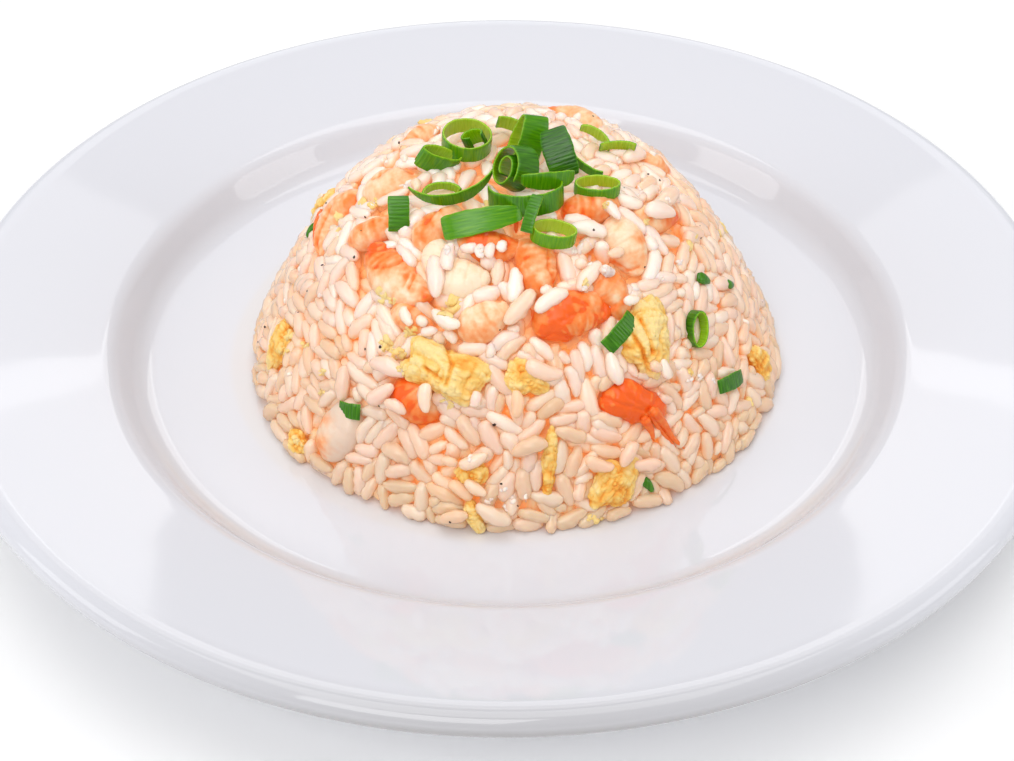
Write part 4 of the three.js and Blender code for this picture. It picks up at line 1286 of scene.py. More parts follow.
def first_surface(trees, start, ray):
    """The nearest place on any piece along a ray, in millimetres, and the outward direction
    there, or nothing where the ray meets no piece."""
    hits = [tree.ray_cast(Vector(start * MM), Vector(ray)) for tree in trees]
    hits = [hit for hit in hits if hit[0] is not None]
    if not hits:
        return None
    place, normal, _, _ = min(hits, key=lambda hit: hit[3])
    return np.array(place) / MM, np.array(normal)


def seen_surface(trees, stage, x, y):
    """The first surface on the line of sight through a pixel."""
    return first_surface(trees, camera_place(stage), sight_lines(stage, (x, y)))


HIDDEN_BEARINGS, HIDDEN_DOWNS, HIDDEN_SIZES = (60, 300), (15, 88), (0.7, 1.3)
SEARCH_HEIGHT = 12.0


def seats(trees, dome, stage, kind, rng):
    """Places, outward directions and half sizes in millimetres for bits of a kind: one seat
    for each of its spots, and its hidden ones over the sides that the camera does not see."""
    rows = []
    for x, y, reach in kind.spots:
        found = seen_surface(trees, stage, x, y)
        if found:
            distance = np.linalg.norm(found[0] - camera_place(stage))
            rows.append((*found, reach / FOCAL_PIXELS * distance))
    for _ in range(kind.hidden):
        bearing, down = rng.uniform(*HIDDEN_BEARINGS), rng.uniform(*HIDDEN_DOWNS)
        origin, _, _, outward = dome.frames(bearing, down, SEARCH_HEIGHT)
        found = first_surface(trees, origin, -outward)
        if found:
            rows.append((*found, kind.size * rng.uniform(*HIDDEN_SIZES)))
    return [np.array(column) for column in zip(*rows)]


CLUSTER_AWAY, CLUSTER_SIZES = (0.25, 0.5), (0.45, 0.75)


def clustered(spots, parts, rng):
    """Each spot parted into several smaller ones within its reach."""
    rows = []
    for x, y, reach in spots:
        angle = rng.uniform(0, TAU) + TAU * np.arange(parts) / parts
        away = reach * rng.uniform(*CLUSTER_AWAY, parts)
        sizes = reach * rng.uniform(*CLUSTER_SIZES, parts)
        rows += list(zip(x + away * np.cos(angle), y + away * np.sin(angle), sizes))
    return rows


class Bits(NamedTuple):
    """A kind of crumb or speck: its spots, how many more lie on the hidden sides and their
    half size in millimetres, how deep each is sunk and how flat it is as shares of its size,
    how rough it is, and its piece's material, slot and attributes."""

    name: str
    slot: str
    material: bpy.types.Material
    spots: list
    hidden: int
    size: float
    sink: float
    flat: float
    rough: float
    values: dict


BIT_GRID = (9, 12)
BIT_LUMP, BIT_LUMP_SEED, BIT_SPACING = 0.8, 5, 7.0
BIT_LENGTHS, BIT_WIDTHS = (0.9, 1.3), (0.7, 1.0)


def put_bits(kind, trees, dome, stage, rng):
    """One piece that holds all bits of a kind: a small uneven ball at each seat, longer one
    way along the surface than the other, flatter across it, sunk by a share of its size and
    roughened by seeded noise."""
    places, normals, sizes = seats(trees, dome, stage, kind, rng)
    ball = np.concatenate([[[0, 0, 1]], unit_ball(BIT_GRID).reshape(-1, 3), [[0, 0, -1]]])
    count = len(places)
    tangent = np.cross(normals, rng.normal(size=(count, 3)))
    tangent /= np.linalg.norm(tangent, axis=-1, keepdims=True)
    basis = np.stack([tangent, np.cross(normals, tangent), normals], 1)
    longer, wider = rng.uniform(*BIT_LENGTHS, count), rng.uniform(*BIT_WIDTHS, count)
    scale = sizes[:, None] * joined(longer, wider, kind.flat)
    apart = BIT_SPACING * np.arange(count)[:, None, None]
    lumpy = 1 + kind.rough * lattice_noise(ball[None] + apart, BIT_LUMP, BIT_LUMP_SEED)
    local = ball[None] * lumpy[..., None] * scale[:, None]
    seat = places - normals * (sizes * kind.sink)[:, None]
    points = seat[:, None] + local @ basis
    values = {key: np.full(points.shape[:2], value) for key, value in kind.values.items()}
    return put_skins(kind.name, points, BIT_GRID, kind.material, **values)


# Strands drawn from pixel to pixel, each with its radius in millimetres at both ends.
SHRIMP_STRANDS = [
    ([(650, 408), (657, 413), (664, 425), (670, 438), (685, 449)], 1.5, 0.35),
    ([(643, 416), (650, 430), (653, 439)], 1.3, 0.4),
    ([(648, 412), (660, 428), (676, 446)], 0.9, 0.3),
    ([(517, 212), (516, 222), (516, 233)], 0.7, 0.4),
    ([(322, 210), (316, 225), (314, 246)], 0.7, 0.4),
]
STRAND_GRID = (24, 10)
STRAND_BLUSH, STRAND_LIFT, STRAND_TIPS, STRAND_FULLNESS = 0.75, 0.3, (0.06, 0.94), 3


def strand_skin(trees, stage, pixels, thick, thin, dome):
    """A tapered round strand that lies along the surface under a line of pixels."""
    found = [seen_surface(trees, stage, x, y) for x, y in pixels]
    corners = np.array([place + normal * thick * STRAND_LIFT for place, normal in found])
    rings, sides = STRAND_GRID
    share = np.linspace(0, len(corners) - 1, rings)
    spine = np.stack([np.interp(share, np.arange(len(corners)), c) for c in corners.T], 1)
    for _ in range(SMOOTHING_ROUNDS):
        spine[1:-1] = (spine[:-2] + 2 * spine[1:-1] + spine[2:]) / 4
    heading = np.gradient(spine, axis=0)
    heading /= np.linalg.norm(heading, axis=-1, keepdims=True)
    side = np.cross(spine - dome.middle, heading)
    side /= np.linalg.norm(side, axis=-1, keepdims=True)
    top = np.cross(heading, side)
    t = np.linspace(0, 1, rings)
    ends = np.clip(np.sin(np.pi * np.clip(t, *STRAND_TIPS)) * STRAND_FULLNESS, 0, 1)
    radius = ((thick + (thin - thick) * t) * ends)[:, None, None]
    angle = (TAU * np.arange(sides) / sides)[None, :, None]
    ring = np.cos(angle) * side[:, None] + np.sin(angle) * top[:, None]
    skin = spine[:, None] + radius * ring
    return np.concatenate([spine[:1], skin.reshape(-1, 3), spine[-1:]])


FLECK_GRID = (9, 14)
FLECK_THICKNESS, FLECK_LIFT, FLECK_ROUNDNESS, FLECK_SAG = 0.8, 0.1, 0.8, 0.1


def fleck_skin(fleck, dome):
    """A lens of leaf pressed into the rice, with an uneven outline."""
    bearing, down, turn, length, width = fleck
    along, around = ball_angles(FLECK_GRID)
    origin, *directions = dome.frames(bearing, down, FLECK_LIFT, turn)
    uneven = 1 + 0.12 * np.sin(3 * around + bearing) + 0.1 * np.sin(2 * around + down)
    x = length / 2 * np.sin(along) ** FLECK_ROUNDNESS * np.cos(around) * uneven
    y = width / 2 * np.sin(along) ** FLECK_ROUNDNESS * np.sin(around) * uneven
    z = FLECK_THICKNESS * np.cos(along) - FLECK_SAG * x * x / length
    skin = laid_out(origin, directions, x, y, z)
    ends = origin + np.array([[1], [-1]]) * directions[2] * FLECK_THICKNESS
    return np.concatenate([ends[:1], skin.reshape(-1, 3), ends[1:]])


# ------------------------------------------------------------------ plate


def rounded(corners, steps=10):
    """An outline from corners (r, z, rounding): each corner is replaced by a curve that
    leaves its two sides at that distance from it."""
    points = []
    for index, (r, z, rounding) in enumerate(corners):
        corner = np.array([r, z], dtype=float)
        if not rounding:
            points.append(corner[None])
            continue
        before = np.array(corners[index - 1][:2]) - corner
        after = np.array(corners[index + 1][:2]) - corner
        start = corner + before / np.linalg.norm(before) * rounding
        end = corner + after / np.linalg.norm(after) * rounding
        t = np.linspace(0, 1, steps)[:, None]
        points.append(start * (1 - t) ** 2 + 2 * corner * t * (1 - t) + end * t * t)
    return np.concatenate(points)


RIM_INNER_RADIUS, RIM_INNER_HEIGHT = 97.5, 19.3
WALL_FOOT_RADIUS, WALL_FOOT_HEIGHT = 92.0, 10.3
FLAT_RADIUS = 72.0
LIP_RADIUS = 3.0
WALL = 5.0
FOOT_OUTER, FOOT_INNER, FOOT_HEIGHT = 81.0, 75.0, 3.0
PLATE_SIDES = 384
PLATE_STEP = 2.0


def plate_outline(radius, height):
    """Half a section of the plate, from the axis over the underside, round the lip, and back
    over the rim and the well."""
    lip_r, lip_z = radius - LIP_RADIUS, height - LIP_RADIUS
    angle = np.radians(np.linspace(-60, 106, 34))
    lip = np.stack([lip_r + LIP_RADIUS * np.cos(angle), lip_z + LIP_RADIUS * np.sin(angle)], 1)
    underside = rounded([
        (0.0, FOOT_HEIGHT, 0),
        (FOOT_INNER - 0.6, FOOT_HEIGHT, 1.2),
        (FOOT_INNER + 0.4, 0, 0.7),
        (FOOT_OUTER - 0.8, 0, 0.7),
        (FOOT_OUTER + 1.2, FOOT_HEIGHT + 0.3, 1.2),
        (RIM_INNER_RADIUS - WALL + 0.5, FOOT_HEIGHT + WALL / 2 + 0.4, 5),
        (RIM_INNER_RADIUS + WALL / 2 + 0.5, RIM_INNER_HEIGHT - WALL + 0.4, 5),
        (lip_r - 1.6, lip_z - LIP_RADIUS + 0.5, 0),
    ])
    inside = rounded([
        (lip_r - 1.0, height - 0.12, 0),
        (RIM_INNER_RADIUS + 0.3, RIM_INNER_HEIGHT + 0.25, 2.6),
        (WALL_FOOT_RADIUS, WALL_FOOT_HEIGHT, 4.2),
        (FLAT_RADIUS, WELL_FLOOR, 12),
        (0.0, WELL_FLOOR, 0),
    ], 16)
    return np.concatenate([underside, lip, inside])


def plate_skin(settings):
    """The outline, parted into short steps, turned about the upright axis. Its two ends close
    on the axis."""
    outline = plate_outline(settings.radius / MM, settings.height / MM)
    steps = [outline[:1]]
    for a, b in zip(outline[:-1], outline[1:]):
        parts = max(1, int(np.linalg.norm(b - a) / PLATE_STEP))
        steps.append(a + (b - a) * (np.arange(parts) + 1)[:, None] / parts)
    outline = np.concatenate(steps)
    ring = outline[1:-1]
    angle = TAU * np.arange(PLATE_SIDES) / PLATE_SIDES
    r, z = ring[:, :1], ring[:, 1:]
    skin = joined(r * np.cos(angle), r * np.sin(angle), z)
    ends = [np.array([[0, 0, outline[end, 1]]]) for end in (0, -1)]
    return len(ring), np.concatenate([ends[0], skin.reshape(-1, 3), ends[1]])


# A broken ring of oil where the well meets its wall, and painted warm shadow round the foot of
# the heap.
OIL_RING_RADIUS, OIL_RING_WIDTH, OIL_RING = 92.0, 2.4, 0.2
FOOT_SHADOW_RADIUS, FOOT_SHADOW_WIDTH, FOOT_SHADOW = 69.0, 1.6, 0.22
OIL_PATCH, OIL_SEED = 16.0, 81
OIL_TO_FRONT, OIL_TO_SIDES, OIL_BREAK = 50.0, 30.0, 0.3


def oil_and_foot_shadow(points):
    """A faint warm tint: a broken ring of oil where the well meets its wall, in front, and
    painted warm shadow round the foot of the heap. It is only on the upper side."""
    radius = np.hypot(points[:, 0], points[:, 1])
    ring = OIL_RING * np.exp(-(((radius - OIL_RING_RADIUS) / OIL_RING_WIDTH) ** 2))
    ring *= np.clip(-points[:, 1] / OIL_TO_FRONT, 0, 1)
    ring *= np.clip(0.5 + lattice_noise(points, OIL_PATCH, OIL_SEED), 0, 1)
    ring *= np.clip(np.abs(points[:, 0]) / OIL_TO_SIDES - OIL_BREAK, 0, 1)
    # Painted shadow round the foot of the heap.
    foot = np.maximum(radius - FOOT_SHADOW_RADIUS, 0) / FOOT_SHADOW_WIDTH
    film = np.clip(ring + FOOT_SHADOW * np.exp(-(foot**2)), 0, 1)
    return np.where(points[:, 2] > WELL_FLOOR - 0.5, film, 0)


# Where each painted shade of the lip starts and the length over which it grows, in millimetres.
LIP_TURN, UNDER_EDGE, UNDER_DROP = (-6.7, 4.5), (-2.6, 1.6), (2.0, 1.6)
TURN_SHADE, UNDER_SHADE, SHADE_FOCUS = 0.7, 0.45, 5


def painted_lip_shade(points, settings):
    """Painted shade: how far a place lies round the lip and under it, greyer in front."""
    radius = np.hypot(points[:, 0], points[:, 1])
    beyond = radius - settings.radius / MM
    drop = settings.height / MM - points[:, 2]
    under = ramp(beyond, *UNDER_EDGE) * ramp(drop, *UNDER_DROP)
    front = np.clip(-points[:, 1] / radius, 0, 1) ** SHADE_FOCUS
    return np.clip(front * (TURN_SHADE * ramp(beyond, *LIP_TURN) + UNDER_SHADE * under), 0, 1)


# ------------------------------------------------------------------ materials


def add_node(material, kind, inputs, **settings):
    """A node of that kind. An input given as a socket is linked and any other is set. Stops
    are the places of a colour ramp and their colours, as hex codes or linear."""
    tree = material.node_tree
    node = tree.nodes.new(kind)
    stops = settings.pop("stops", ())
    for key, value in settings.items():
        setattr(node, key, value)
    for key, value in inputs.items():
        if isinstance(value, bpy.types.NodeSocket):
            tree.links.new(value, node.inputs[key])
        else:
            node.inputs[key].default_value = value
    for number, (place, colour) in enumerate(stops):
        if number >= len(node.color_ramp.elements):
            node.color_ramp.elements.new(place)
        element = node.color_ramp.elements[number]
        element.position = place
        element.color = linear(colour) if isinstance(colour, str) else colour
    return node


def new_material(name):
    """A material without any node."""
    material = bpy.data.materials.new(name)
    material.use_nodes = True
    material.node_tree.nodes.clear()
    return material


def show_surface(material, **inputs):
    """Ends the material in one physical surface with those inputs."""
    named = {key.replace("_", " "): value for key, value in inputs.items()}
    surface = add_node(material, "ShaderNodeBsdfPrincipled", named)
    add_node(material, "ShaderNodeOutputMaterial", {"Surface": surface.outputs["BSDF"]})
    return material


def tinted(material, under, attribute, code):
    """A colour with another over it, which covers as much of it as the attribute says. It
    lays both stains and painted shade.
    """
    amount = add_node(material, "ShaderNodeAttribute", {}, attribute_name=attribute)
    inputs = {"Fac": amount.outputs["Fac"], "Color1": under, "Color2": linear(code)}
    return add_node(material, "ShaderNodeMixRGB", inputs).outputs["Color"]


def roughened(material, place, size, detail, strength, depth):
    """The normal of a surface with bumps of that size and depth in millimetres."""
    inputs = {"Vector": place, "Scale": 1 / (size * MM), "Detail": detail}
    height = add_node(material, "ShaderNodeTexNoise", inputs).outputs["Fac"]
    inputs = {"Strength": strength, "Distance": depth * MM, "Height": height}
    return add_node(material, "ShaderNodeBump", inputs).outputs["Normal"]


def mottled(material, patches, share, attribute, stops):
    """A colour from the ramp, at the attribute's value and that share of the patches more."""
    value = add_node(material, "ShaderNodeAttribute", {}, attribute_name=attribute)
    inputs = {0: patches, 1: share, 2: value.outputs["Fac"]}
    mixed = add_node(material, "ShaderNodeMath", inputs, operation="MULTIPLY_ADD")
    inputs = {"Fac": mixed.outputs["Value"]}
    return add_node(material, "ShaderNodeValToRGB", inputs, stops=stops).outputs["Color"]


def glazed_porcelain(settings):
    """Vitreous white porcelain under a clear glaze: even grey white, with sharp reflections
    that waver slightly, a faint warm tint of oil where the well meets its wall, painted warm
    shadow round the foot of the heap, and painted shade round the front of its lip and under
    it. The glaze wavers over 38 mm."""
    material = new_material("glazed porcelain")
    place = add_node(material, "ShaderNodeTexCoord", {}).outputs["Object"]
    # Oil where the well meets its wall, and painted shadow round the foot of the heap.
    oiled_and_shadowed = tinted(material, tuple(settings.glaze), "film", "#E2D6C6")
    return show_surface(
        material,
        # Painted shade round the front of the lip and under it.
        Base_Color=tinted(material, oiled_and_shadowed, "shade", "#B0AEB0"),
        Roughness=0.05,
        IOR=1.5,
        Normal=roughened(material, place, 38.46, 1.0, 0.12, 1.2),
    )


RICE_TONES = {
    "white": [(0.0, "#E8D2BA"), (0.4, "#F4DDCA"), (1.0, "#FFF5EC")],
    "rosy": [(0.0, "#E6CAB0"), (0.4, "#F3D2BE"), (1.0, "#FFE9DF")],
    "soaked": [(0.0, "#DCC2A2"), (0.4, "#EACAAE"), (1.0, "#F8DEC8")],
}
RICE_CLEARNESS = {"white": 0.4, "rosy": 0.5, "soaked": 0.7}
# What warms the grains: an attribute, its colour on them and that of their painted glow.
# Depth lays painted warm shade on grains that lie deep, and oil an orange stain.
RICE_STAINS_AND_SHADE = (("depth", "#F1BA7C", "#FFBA7E"), ("oil", "#FBB65A", "#FFB048"))


def cooked_rice(kind):
    """Cooked rice: starchy and slightly see-through, with a satin skin under a layer of
    moisture and grit of 1.4 mm. Tone runs from the darker grains at the base to the white
    ones above. The edge of each grain that turns from view is painted warmer, as painted light
    through it; one that lies deep is painted a warm shade, and one in oil is stained orange.
    All glow a little, more when deep or in oil: painted light in place of light through them."""
    material = new_material(f"{kind} cooked rice")
    place = add_node(material, "ShaderNodeTexCoord", {}).outputs["Object"]
    tone = add_node(material, "ShaderNodeAttribute", {}, attribute_name="tone")
    inputs = {"Fac": tone.outputs["Fac"]}
    colour = add_node(material, "ShaderNodeValToRGB", inputs, stops=RICE_TONES[kind])
    # Painted light: edges where the grain turns from view are warmer, in place of light through
    # it and bounced between grains.
    facing = add_node(material, "ShaderNodeLayerWeight", {"Blend": 0.42})
    inputs = {0: facing.outputs["Facing"], 1: 0.6}
    rounding = add_node(material, "ShaderNodeMath", inputs, operation="MULTIPLY")
    inputs = {"Fac": rounding.outputs["Value"], "Color1": colour.outputs["Color"],
              "Color2": linear("#EEC09A")}
    shown = add_node(material, "ShaderNodeMixRGB", inputs).outputs["Color"]
    # Painted glow in place of light through the grains, warmer where deep or in oil.
    painted_glow = linear("#86664C")
    for attribute, warm_colour, light in RICE_STAINS_AND_SHADE:
        shown = tinted(material, shown, attribute, warm_colour)
        painted_glow = tinted(material, painted_glow, attribute, light)
    return show_surface(
        material,
        Base_Color=shown,
        # Painted glow.
        Emission_Color=painted_glow,
        Emission_Strength=0.24,
        Roughness=0.32,
        IOR=1.42,
        Coat_Weight=0.7,
        Coat_Roughness=0.1,
        Coat_IOR=1.36,
        Subsurface_Weight=RICE_CLEARNESS[kind],
        Subsurface_Radius=(1.0, 0.65, 0.4),
        Subsurface_Scale=0.0018,
        Normal=roughened(material, place, 1.4286, 2.0, 0.3, 0.3),
    )


def packed_rice():
    """The oily mass behind the grains: warm tan in patches of 6 mm, and orange where shrimp
    has coloured it. It glows a little in its own colour, painted light that lifts the shade
    between the grains."""
    material = new_material("oiled rice")
    place = add_node(material, "ShaderNodeTexCoord", {}).outputs["Object"]
    inputs = {"Vector": place, "Scale": 1 / (6.25 * MM), "Detail": 2.0}
    patches = add_node(material, "ShaderNodeTexNoise", inputs)
    tan = add_node(
        material, "ShaderNodeValToRGB", {"Fac": patches.outputs["Fac"]},
        stops=[(0.35, "#EDAE6A"), (0.65, "#F4C992")],
    )
    colour = tinted(material, tan.outputs["Color"], "juice", "#FA8440")
    return show_surface(
        material,
        Base_Color=colour,
        # Painted glow that lifts the shade between the grains.
        Emission_Color=colour,
        Emission_Strength=0.12,
        Roughness=0.4,
        IOR=1.45,
    )


def shrimp_flesh(settings):
    """Cooked shrimp: pale, moist and slightly see-through flesh, with orange pigment in
    mottles of 1.4 mm where the blush is deep, and fine muscle fibre of 2.4 mm."""
    material = new_material("cooked shrimp")
    place = add_node(material, "ShaderNodeTexCoord", {}).outputs["Object"]
    inputs = {"Vector": place, "Scale": 1 / (1.4286 * MM), "Detail": 3.0}
    patches = add_node(material, "ShaderNodeTexNoise", inputs).outputs["Fac"]
    colour = mottled(material, patches, 0.4, "blush", [
        (0.25, settings.flesh), (0.42, "#FFD2A6"), (0.58, "#FFB57E"), (0.74, "#FC944E"),
        (0.9, "#FB8236"), (1.0, settings.blush),
    ])
    return show_surface(
        material,
        Base_Color=tinted(material, colour, "clear", "#E2C6B4"),
        Roughness=0.3,
        IOR=1.4,
        Subsurface_Weight=0.2,
        Subsurface_Radius=(1.0, 0.6, 0.4),
        Subsurface_Scale=0.0012,
        Normal=roughened(material, place, 2.381, 4.0, 0.5, 0.5),
    )


def scrambled_egg(settings):
    """Scrambled egg: soft crumbly curd, pale yellow on its bumps and painted amber shade in its
    creases, in patches of 3 mm, with pores of 1.3 mm."""
    material = new_material("scrambled egg")
    place = add_node(material, "ShaderNodeTexCoord", {}).outputs["Object"]
    inputs = {"Vector": place, "Scale": 1 / (3.03 * MM), "Detail": 4.0}
    patches = add_node(material, "ShaderNodeTexNoise", inputs).outputs["Fac"]
    return show_surface(
        material,
        # The crease colours are painted shade.
        Base_Color=mottled(material, patches, 0.5, "depth", [
            (0.4, settings.curd), (0.6, "#FDD076"), (0.78, "#F9B850"), (0.95, settings.crease),
        ]),
        Roughness=0.45,
        IOR=1.4,
        Subsurface_Weight=0.2,
        Subsurface_Radius=(1.0, 0.7, 0.25),
        Subsurface_Scale=0.0012,
        Normal=roughened(material, place, 1.3333, 4.0, 0.7, 0.9),
    )


def scallion_leaf(settings):
    """Raw scallion leaf: waxy green outside, lighter and yellower inside and at its cut
    edges, with 2.4 streaks to the millimetre along the leaf. Its map is in millimetres across
    the ribs and along them."""
    material = new_material("scallion leaf")
    leaf_map = add_node(material, "ShaderNodeTexCoord", {}).outputs["UV"]
    inputs = {"Vector": leaf_map, "Scale": (1.0, 0.08, 1.0)}
    stretched = add_node(material, "ShaderNodeMapping", inputs).outputs["Vector"]
    inputs = {"Vector": stretched, "Scale": 2.4, "Detail": 3.0}
    streaks = add_node(material, "ShaderNodeTexNoise", inputs).outputs["Fac"]
    inputs = {"Strength": 0.4, "Distance": 0.3 * MM, "Height": streaks}
    return show_surface(
        material,
        Base_Color=mottled(material, streaks, 0.55, "inside", [
            (0.1, settings.outside), (0.4, "#4E9206"), (0.75, "#8CBE04"), (1.0, settings.inside),
        ]),
        Roughness=0.22,
        IOR=1.45,
        Subsurface_Weight=0.15,
        Subsurface_Radius=(0.4, 1.0, 0.1),
        Subsurface_Scale=0.0008,
        Normal=add_node(material, "ShaderNodeBump", inputs).outputs["Normal"],
    )


def black_pepper():
    """Ground black pepper: dark brown husk, rough and dry."""
    material = new_material("ground black pepper")
    return show_surface(material, Base_Color=linear("#35201A"), Roughness=0.6, IOR=1.5)


def studio_floor():
    """A matt white sweep."""
    material = new_material("matt white floor")
    return show_surface(material, Base_Color=linear("#FBFBFB"), Roughness=0.9)


# ------------------------------------------------------------------ operators


RICE_KINDS = tuple(RICE_TONES)
RICE_SHARES = (0.36, 0.42, 0.22)
SOAKED_BELOW, TONE_HEIGHT, TONE_SPREAD = 9.0, 52.0, 0.12


def current_dome(scene):
    """The dome that the rice settings give."""
    settings = scene.fried_rice_rice
    return Dome(settings.base_radius / MM, settings.height / MM)


class FRIEDRICE_OT_plate(Operator):
    """Add the soup plate"""

    bl_idname = "fried_rice.plate"
    bl_label = "Plate"

    def execute(self, context):
        settings = context.scene.fried_rice_plate
        rings, points = plate_skin(settings)
        piece = put_skins(
            "soup_plate", points, (rings, PLATE_SIDES), glazed_porcelain(settings),
            film=oil_and_foot_shadow(points), shade=painted_lip_shade(points, settings),
        )
        finish_piece(piece, "porcelain", "plate")
        return {"FINISHED"}


class FRIEDRICE_OT_rice(Operator):
    """Add the heap of rice: its core and its grains"""

    bl_idname = "fried_rice.rice"
    bl_label = "Rice"

    def execute(self, context):
        dome, stage = current_dome(context.scene), context.scene.fried_rice_stage
        settings = context.scene.fried_rice_rice
        rng = np.random.default_rng(settings.seed)
        points, juice = core_skin(dome, stage)
        core = put_skins("rice_core", points, CORE_GRID, packed_rice(), juice=juice)
        finish_piece(core, "rice", "rice_heap")
        ends, widths = rice_rods(settings, stage, dome, rng)
        height = ends[..., 2].mean(1) - WELL_FLOOR
        tones = np.clip(height / TONE_HEIGHT, 0, 1) + rng.normal(0, TONE_SPREAD, len(ends))
        kinds = rng.choice(len(RICE_KINDS), len(ends), p=RICE_SHARES)
        kinds[rng.uniform(0, 1, len(ends)) > height / SOAKED_BELOW] = RICE_KINDS.index("soaked")
        for number, kind in enumerate(RICE_KINDS):
            chosen = kinds == number
            piece = put_grains(
                f"{kind}_grains", cooked_rice(kind), ends[chosen], widths[chosen],
                tones[chosen], dome, stage, rng,
            )
            finish_piece(piece, "rice")
        return {"FINISHED"}


class FRIEDRICE_OT_shrimp(Operator):
    """Add the pieces of shrimp"""

    bl_idname = "fried_rice.shrimp"
    bl_label = "Shrimp"

    def execute(self, context):
        dome, stage = current_dome(context.scene), context.scene.fried_rice_stage
        material = shrimp_flesh(context.scene.fried_rice_shrimp)
        for number, item in enumerate(SHRIMPS, 1):
            name = f"shrimp_{number:02d}"
            points, blush, clear = shrimp_skin(item, dome, stage, 100 + 7 * number)
            piece = put_skins(
                f"{name}_flesh", points, SHRIMP_GRID, material, blush=blush, clear=clear
            )
            finish_piece(piece, "shrimp", name)
        return {"FINISHED"}


class FRIEDRICE_OT_egg(Operator):
    """Add the curds of egg"""

    bl_idname = "fried_rice.egg"
    bl_label = "Egg"

    def execute(self, context):
        dome, stage = current_dome(context.scene), context.scene.fried_rice_stage
        material = scrambled_egg(context.scene.fried_rice_egg)
        for number, item in enumerate(EGGS, 1):
            name = f"egg_{number:02d}"
            points, depth = egg_skin(item, dome, stage, 300 + 11 * number)
            piece = put_skins(f"{name}_curd", points, EGG_GRID, material, depth=depth)
            finish_piece(piece, "egg", name)
        return {"FINISHED"}


class FRIEDRICE_OT_scallion(Operator):
    """Add the slices of scallion"""

    bl_idname = "fried_rice.scallion"
    bl_label = "Scallion"

    def execute(self, context):
        dome = current_dome(context.scene)
        settings = context.scene.fried_rice_scallion
        material = scallion_leaf(settings)
        for number, item in enumerate(SLICES):
            skin = leaf_skin(item, dome, settings.wall / MM, number)
            finish_piece(put_leaf(item, *skin, material), "scallion", item.name)
        return {"FINISHED"}


class FRIEDRICE_OT_bits(Operator):
    """Add the flecks, crumbs, specks and strands that lie on the other pieces"""

    bl_idname = "fried_rice.bits"
    bl_label = "Crumbs and Specks"

    def execute(self, context):
        scene = context.scene
        dome, stage = current_dome(scene), scene.fried_rice_stage
        rng = np.random.default_rng(scene.fried_rice_rice.seed + 1)
        graph = context.evaluated_depsgraph_get()
        under = ("rice_core", "_grains", "_flesh", "_curd")
        lying = [item for item in scene.objects if item.name.endswith(under)]
        trees = [BVHTree.FromObject(item, graph) for item in lying]
        white, flesh, curd, leaf = (
            bpy.data.materials[name]
            for name in ("white cooked rice", "cooked shrimp", "scrambled egg", "scallion leaf")
        )
        kinds = [
            Bits(
                "rice_crumbs", "rice", white, clustered(RICE_CRUMBS, 2, rng), hidden=40,
                size=1.0, sink=0.4, flat=0.75, rough=0.5, values=dict(tone=0.8, depth=0.0),
            ),
            # Egg crumbs carry a little of the curd's painted crease shade.
            Bits(
                "egg_crumbs", "egg", curd, clustered(EGG_CRUMBS, 4, rng), hidden=14,
                size=1.2, sink=0.5, flat=0.7, rough=0.9, values=dict(depth=0.2),
            ),
            Bits(
                "pepper_specks", "rice", black_pepper(), PEPPER_SPOTS, hidden=24,
                size=0.2, sink=0.3, flat=0.6, rough=0.3, values={},
            ),
        ]
        for kind in kinds:
            finish_piece(put_bits(kind, trees, dome, stage, rng), kind.slot)

        skins = [strand_skin(trees, stage, *strand, dome) for strand in SHRIMP_STRANDS]
        blush = np.full(np.shape(skins)[:2], STRAND_BLUSH)
        piece = put_skins("shrimp_strands", skins, STRAND_GRID, flesh, blush=blush)
        finish_piece(piece, "shrimp")

        points = np.concatenate([fleck_skin(fleck, dome) for fleck in FLECKS])
        piece = put_skins(
            "scallion_flecks", points, FLECK_GRID, leaf, points[:, :2],
            inside=np.zeros(len(points)),
        )
        finish_piece(piece, "scallion")
        return {"FINISHED"}


# The studio's soft lights, in metres and watts: name, place, the height on the upright axis
# that the light faces, width, height and power.
LIGHTS = [
    ("overhead softbox", (0, 0.05, 1.3), 0, 1.1, 1.1, 7),
    ("back panel", (0, 1.5, 0.88), 0.03, 0.9, 0.36, 1.7),
    ("upper back panel", (0, 1.5, 1.3), 0.03, 0.9, 0.5, 1.4),
    ("front key", (-0.4, -1.2, 1.3), 0.04, 1.0, 1.0, 10.5),
    ("left fill", (-1.4, -0.3, 0.7), 0.03, 0.7, 0.7, 3.0),
    ("right fill", (1.4, -0.3, 0.7), 0.03, 0.7, 0.7, 2.9),
]
WORLD_STRENGTH = 0.44
FLOOR_REACH = 3
SENSOR_WIDTH = 36.0


def soft_light(name, place, aim, width, height, power):
    """A rectangular studio light that faces the upright axis at the height of its aim."""
    light = bpy.data.lights.new(name, "AREA")
    light.shape = "RECTANGLE"
    light.size, light.size_y = width, height
    light.energy = power
    lamp = bpy.data.objects.new(name, light)
    lamp.location = place
    way = Vector((0, 0, aim)) - Vector(place)
    lamp.rotation_euler = way.to_track_quat("-Z", "Y").to_euler()
    bpy.context.scene.collection.objects.link(lamp)


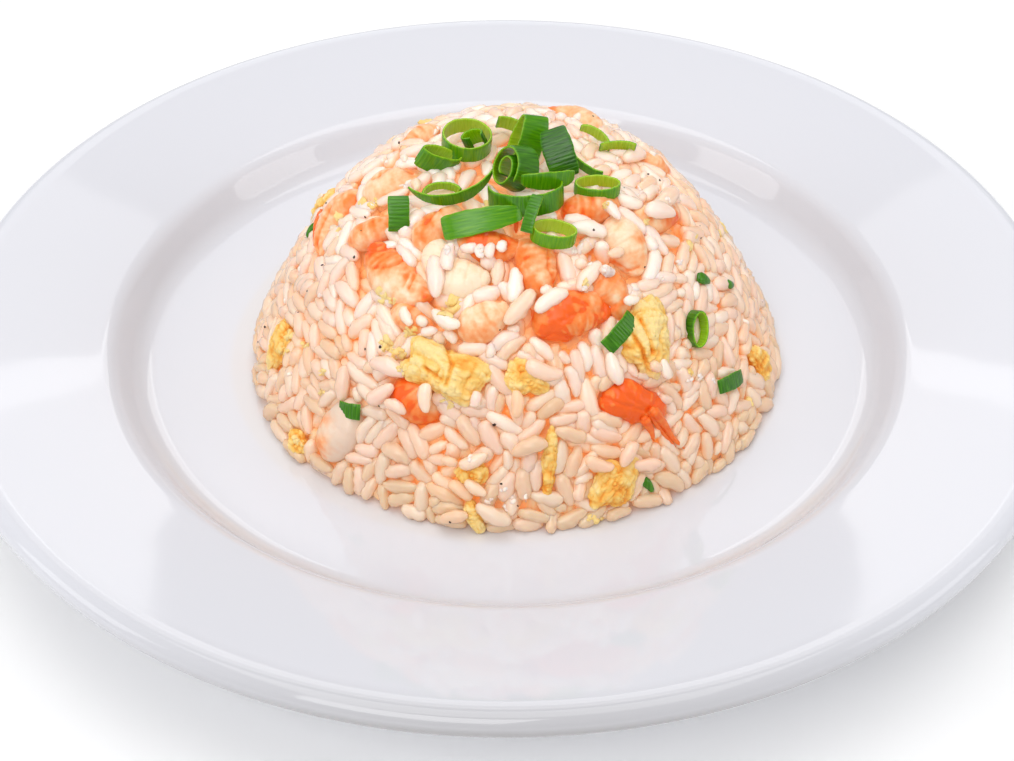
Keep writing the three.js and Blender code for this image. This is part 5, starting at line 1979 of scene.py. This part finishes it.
class FRIEDRICE_OT_stage(Operator):
    """Add the floor, the lights and the camera"""

    bl_idname = "fried_rice.stage"
    bl_label = "Stage"

    def execute(self, context):
        scene = context.scene
        stage = scene.fried_rice_stage
        floor_mesh = bpy.data.meshes.new("floor")
        signs = [(-1, -1), (1, -1), (1, 1), (-1, 1)]
        corners = [(x * FLOOR_REACH, y * FLOOR_REACH, 0) for x, y in signs]
        floor_mesh.from_pydata(corners, [], [(0, 1, 2, 3)])
        floor_mesh.materials.append(studio_floor())
        floor = bpy.data.objects.new("floor", floor_mesh)
        scene.collection.objects.link(floor)

        for light in LIGHTS:
            soft_light(*light)
        world = bpy.data.worlds.new("studio")
        world.use_nodes = True
        background = world.node_tree.nodes["Background"]
        background.inputs["Color"].default_value = (1, 1, 1, 1)
        background.inputs["Strength"].default_value = WORLD_STRENGTH
        scene.world = world

        camera_data = bpy.data.cameras.new("camera")
        camera_data.sensor_width = SENSOR_WIDTH
        camera_data.lens = SENSOR_WIDTH * FOCAL_PIXELS / FRAME_WIDTH
        camera_data.clip_start = 0.01
        camera = bpy.data.objects.new("camera", camera_data)
        camera.location = camera_place(stage) * MM
        camera.rotation_euler = (math.pi / 2 - stage.elevation, 0, 0)
        scene.collection.objects.link(camera)
        scene.camera = camera
        scene.view_settings.view_transform = "Standard"
        return {"FINISHED"}


STEPS = [
    FRIEDRICE_OT_plate,
    FRIEDRICE_OT_rice,
    FRIEDRICE_OT_shrimp,
    FRIEDRICE_OT_egg,
    FRIEDRICE_OT_scallion,
    FRIEDRICE_OT_bits,
    FRIEDRICE_OT_stage,
]

SETTINGS = {
    "fried_rice_plate": PlateSettings,
    "fried_rice_rice": RiceSettings,
    "fried_rice_shrimp": ShrimpSettings,
    "fried_rice_egg": EggSettings,
    "fried_rice_scallion": ScallionSettings,
    "fried_rice_stage": StageSettings,
}


class FRIEDRICE_PT_panel(Panel):
    """Settings and steps of the plate of fried rice"""

    bl_label = "Fried Rice"
    bl_idname = "FRIEDRICE_PT_panel"
    bl_space_type = "VIEW_3D"
    bl_region_type = "UI"
    bl_category = "Fried Rice"

    def draw(self, context):
        for key, settings in SETTINGS.items():
            box = self.layout.box()
            for name in settings.__annotations__:
                box.prop(getattr(context.scene, key), name)
        for step in STEPS:
            self.layout.operator(step.bl_idname)


def register():
    for kind in (*SETTINGS.values(), *STEPS, FRIEDRICE_PT_panel):
        bpy.utils.register_class(kind)
    for key, settings in SETTINGS.items():
        setattr(bpy.types.Scene, key, PointerProperty(type=settings))


def unregister():
    for key in SETTINGS:
        delattr(bpy.types.Scene, key)
    for kind in (FRIEDRICE_PT_panel, *reversed(STEPS), *SETTINGS.values()):
        bpy.utils.unregister_class(kind)


def main():
    register()
    for step in STEPS:
        family, name = step.bl_idname.split(".")
        getattr(getattr(bpy.ops, family), name)()


if __name__ == "__main__":
    main()
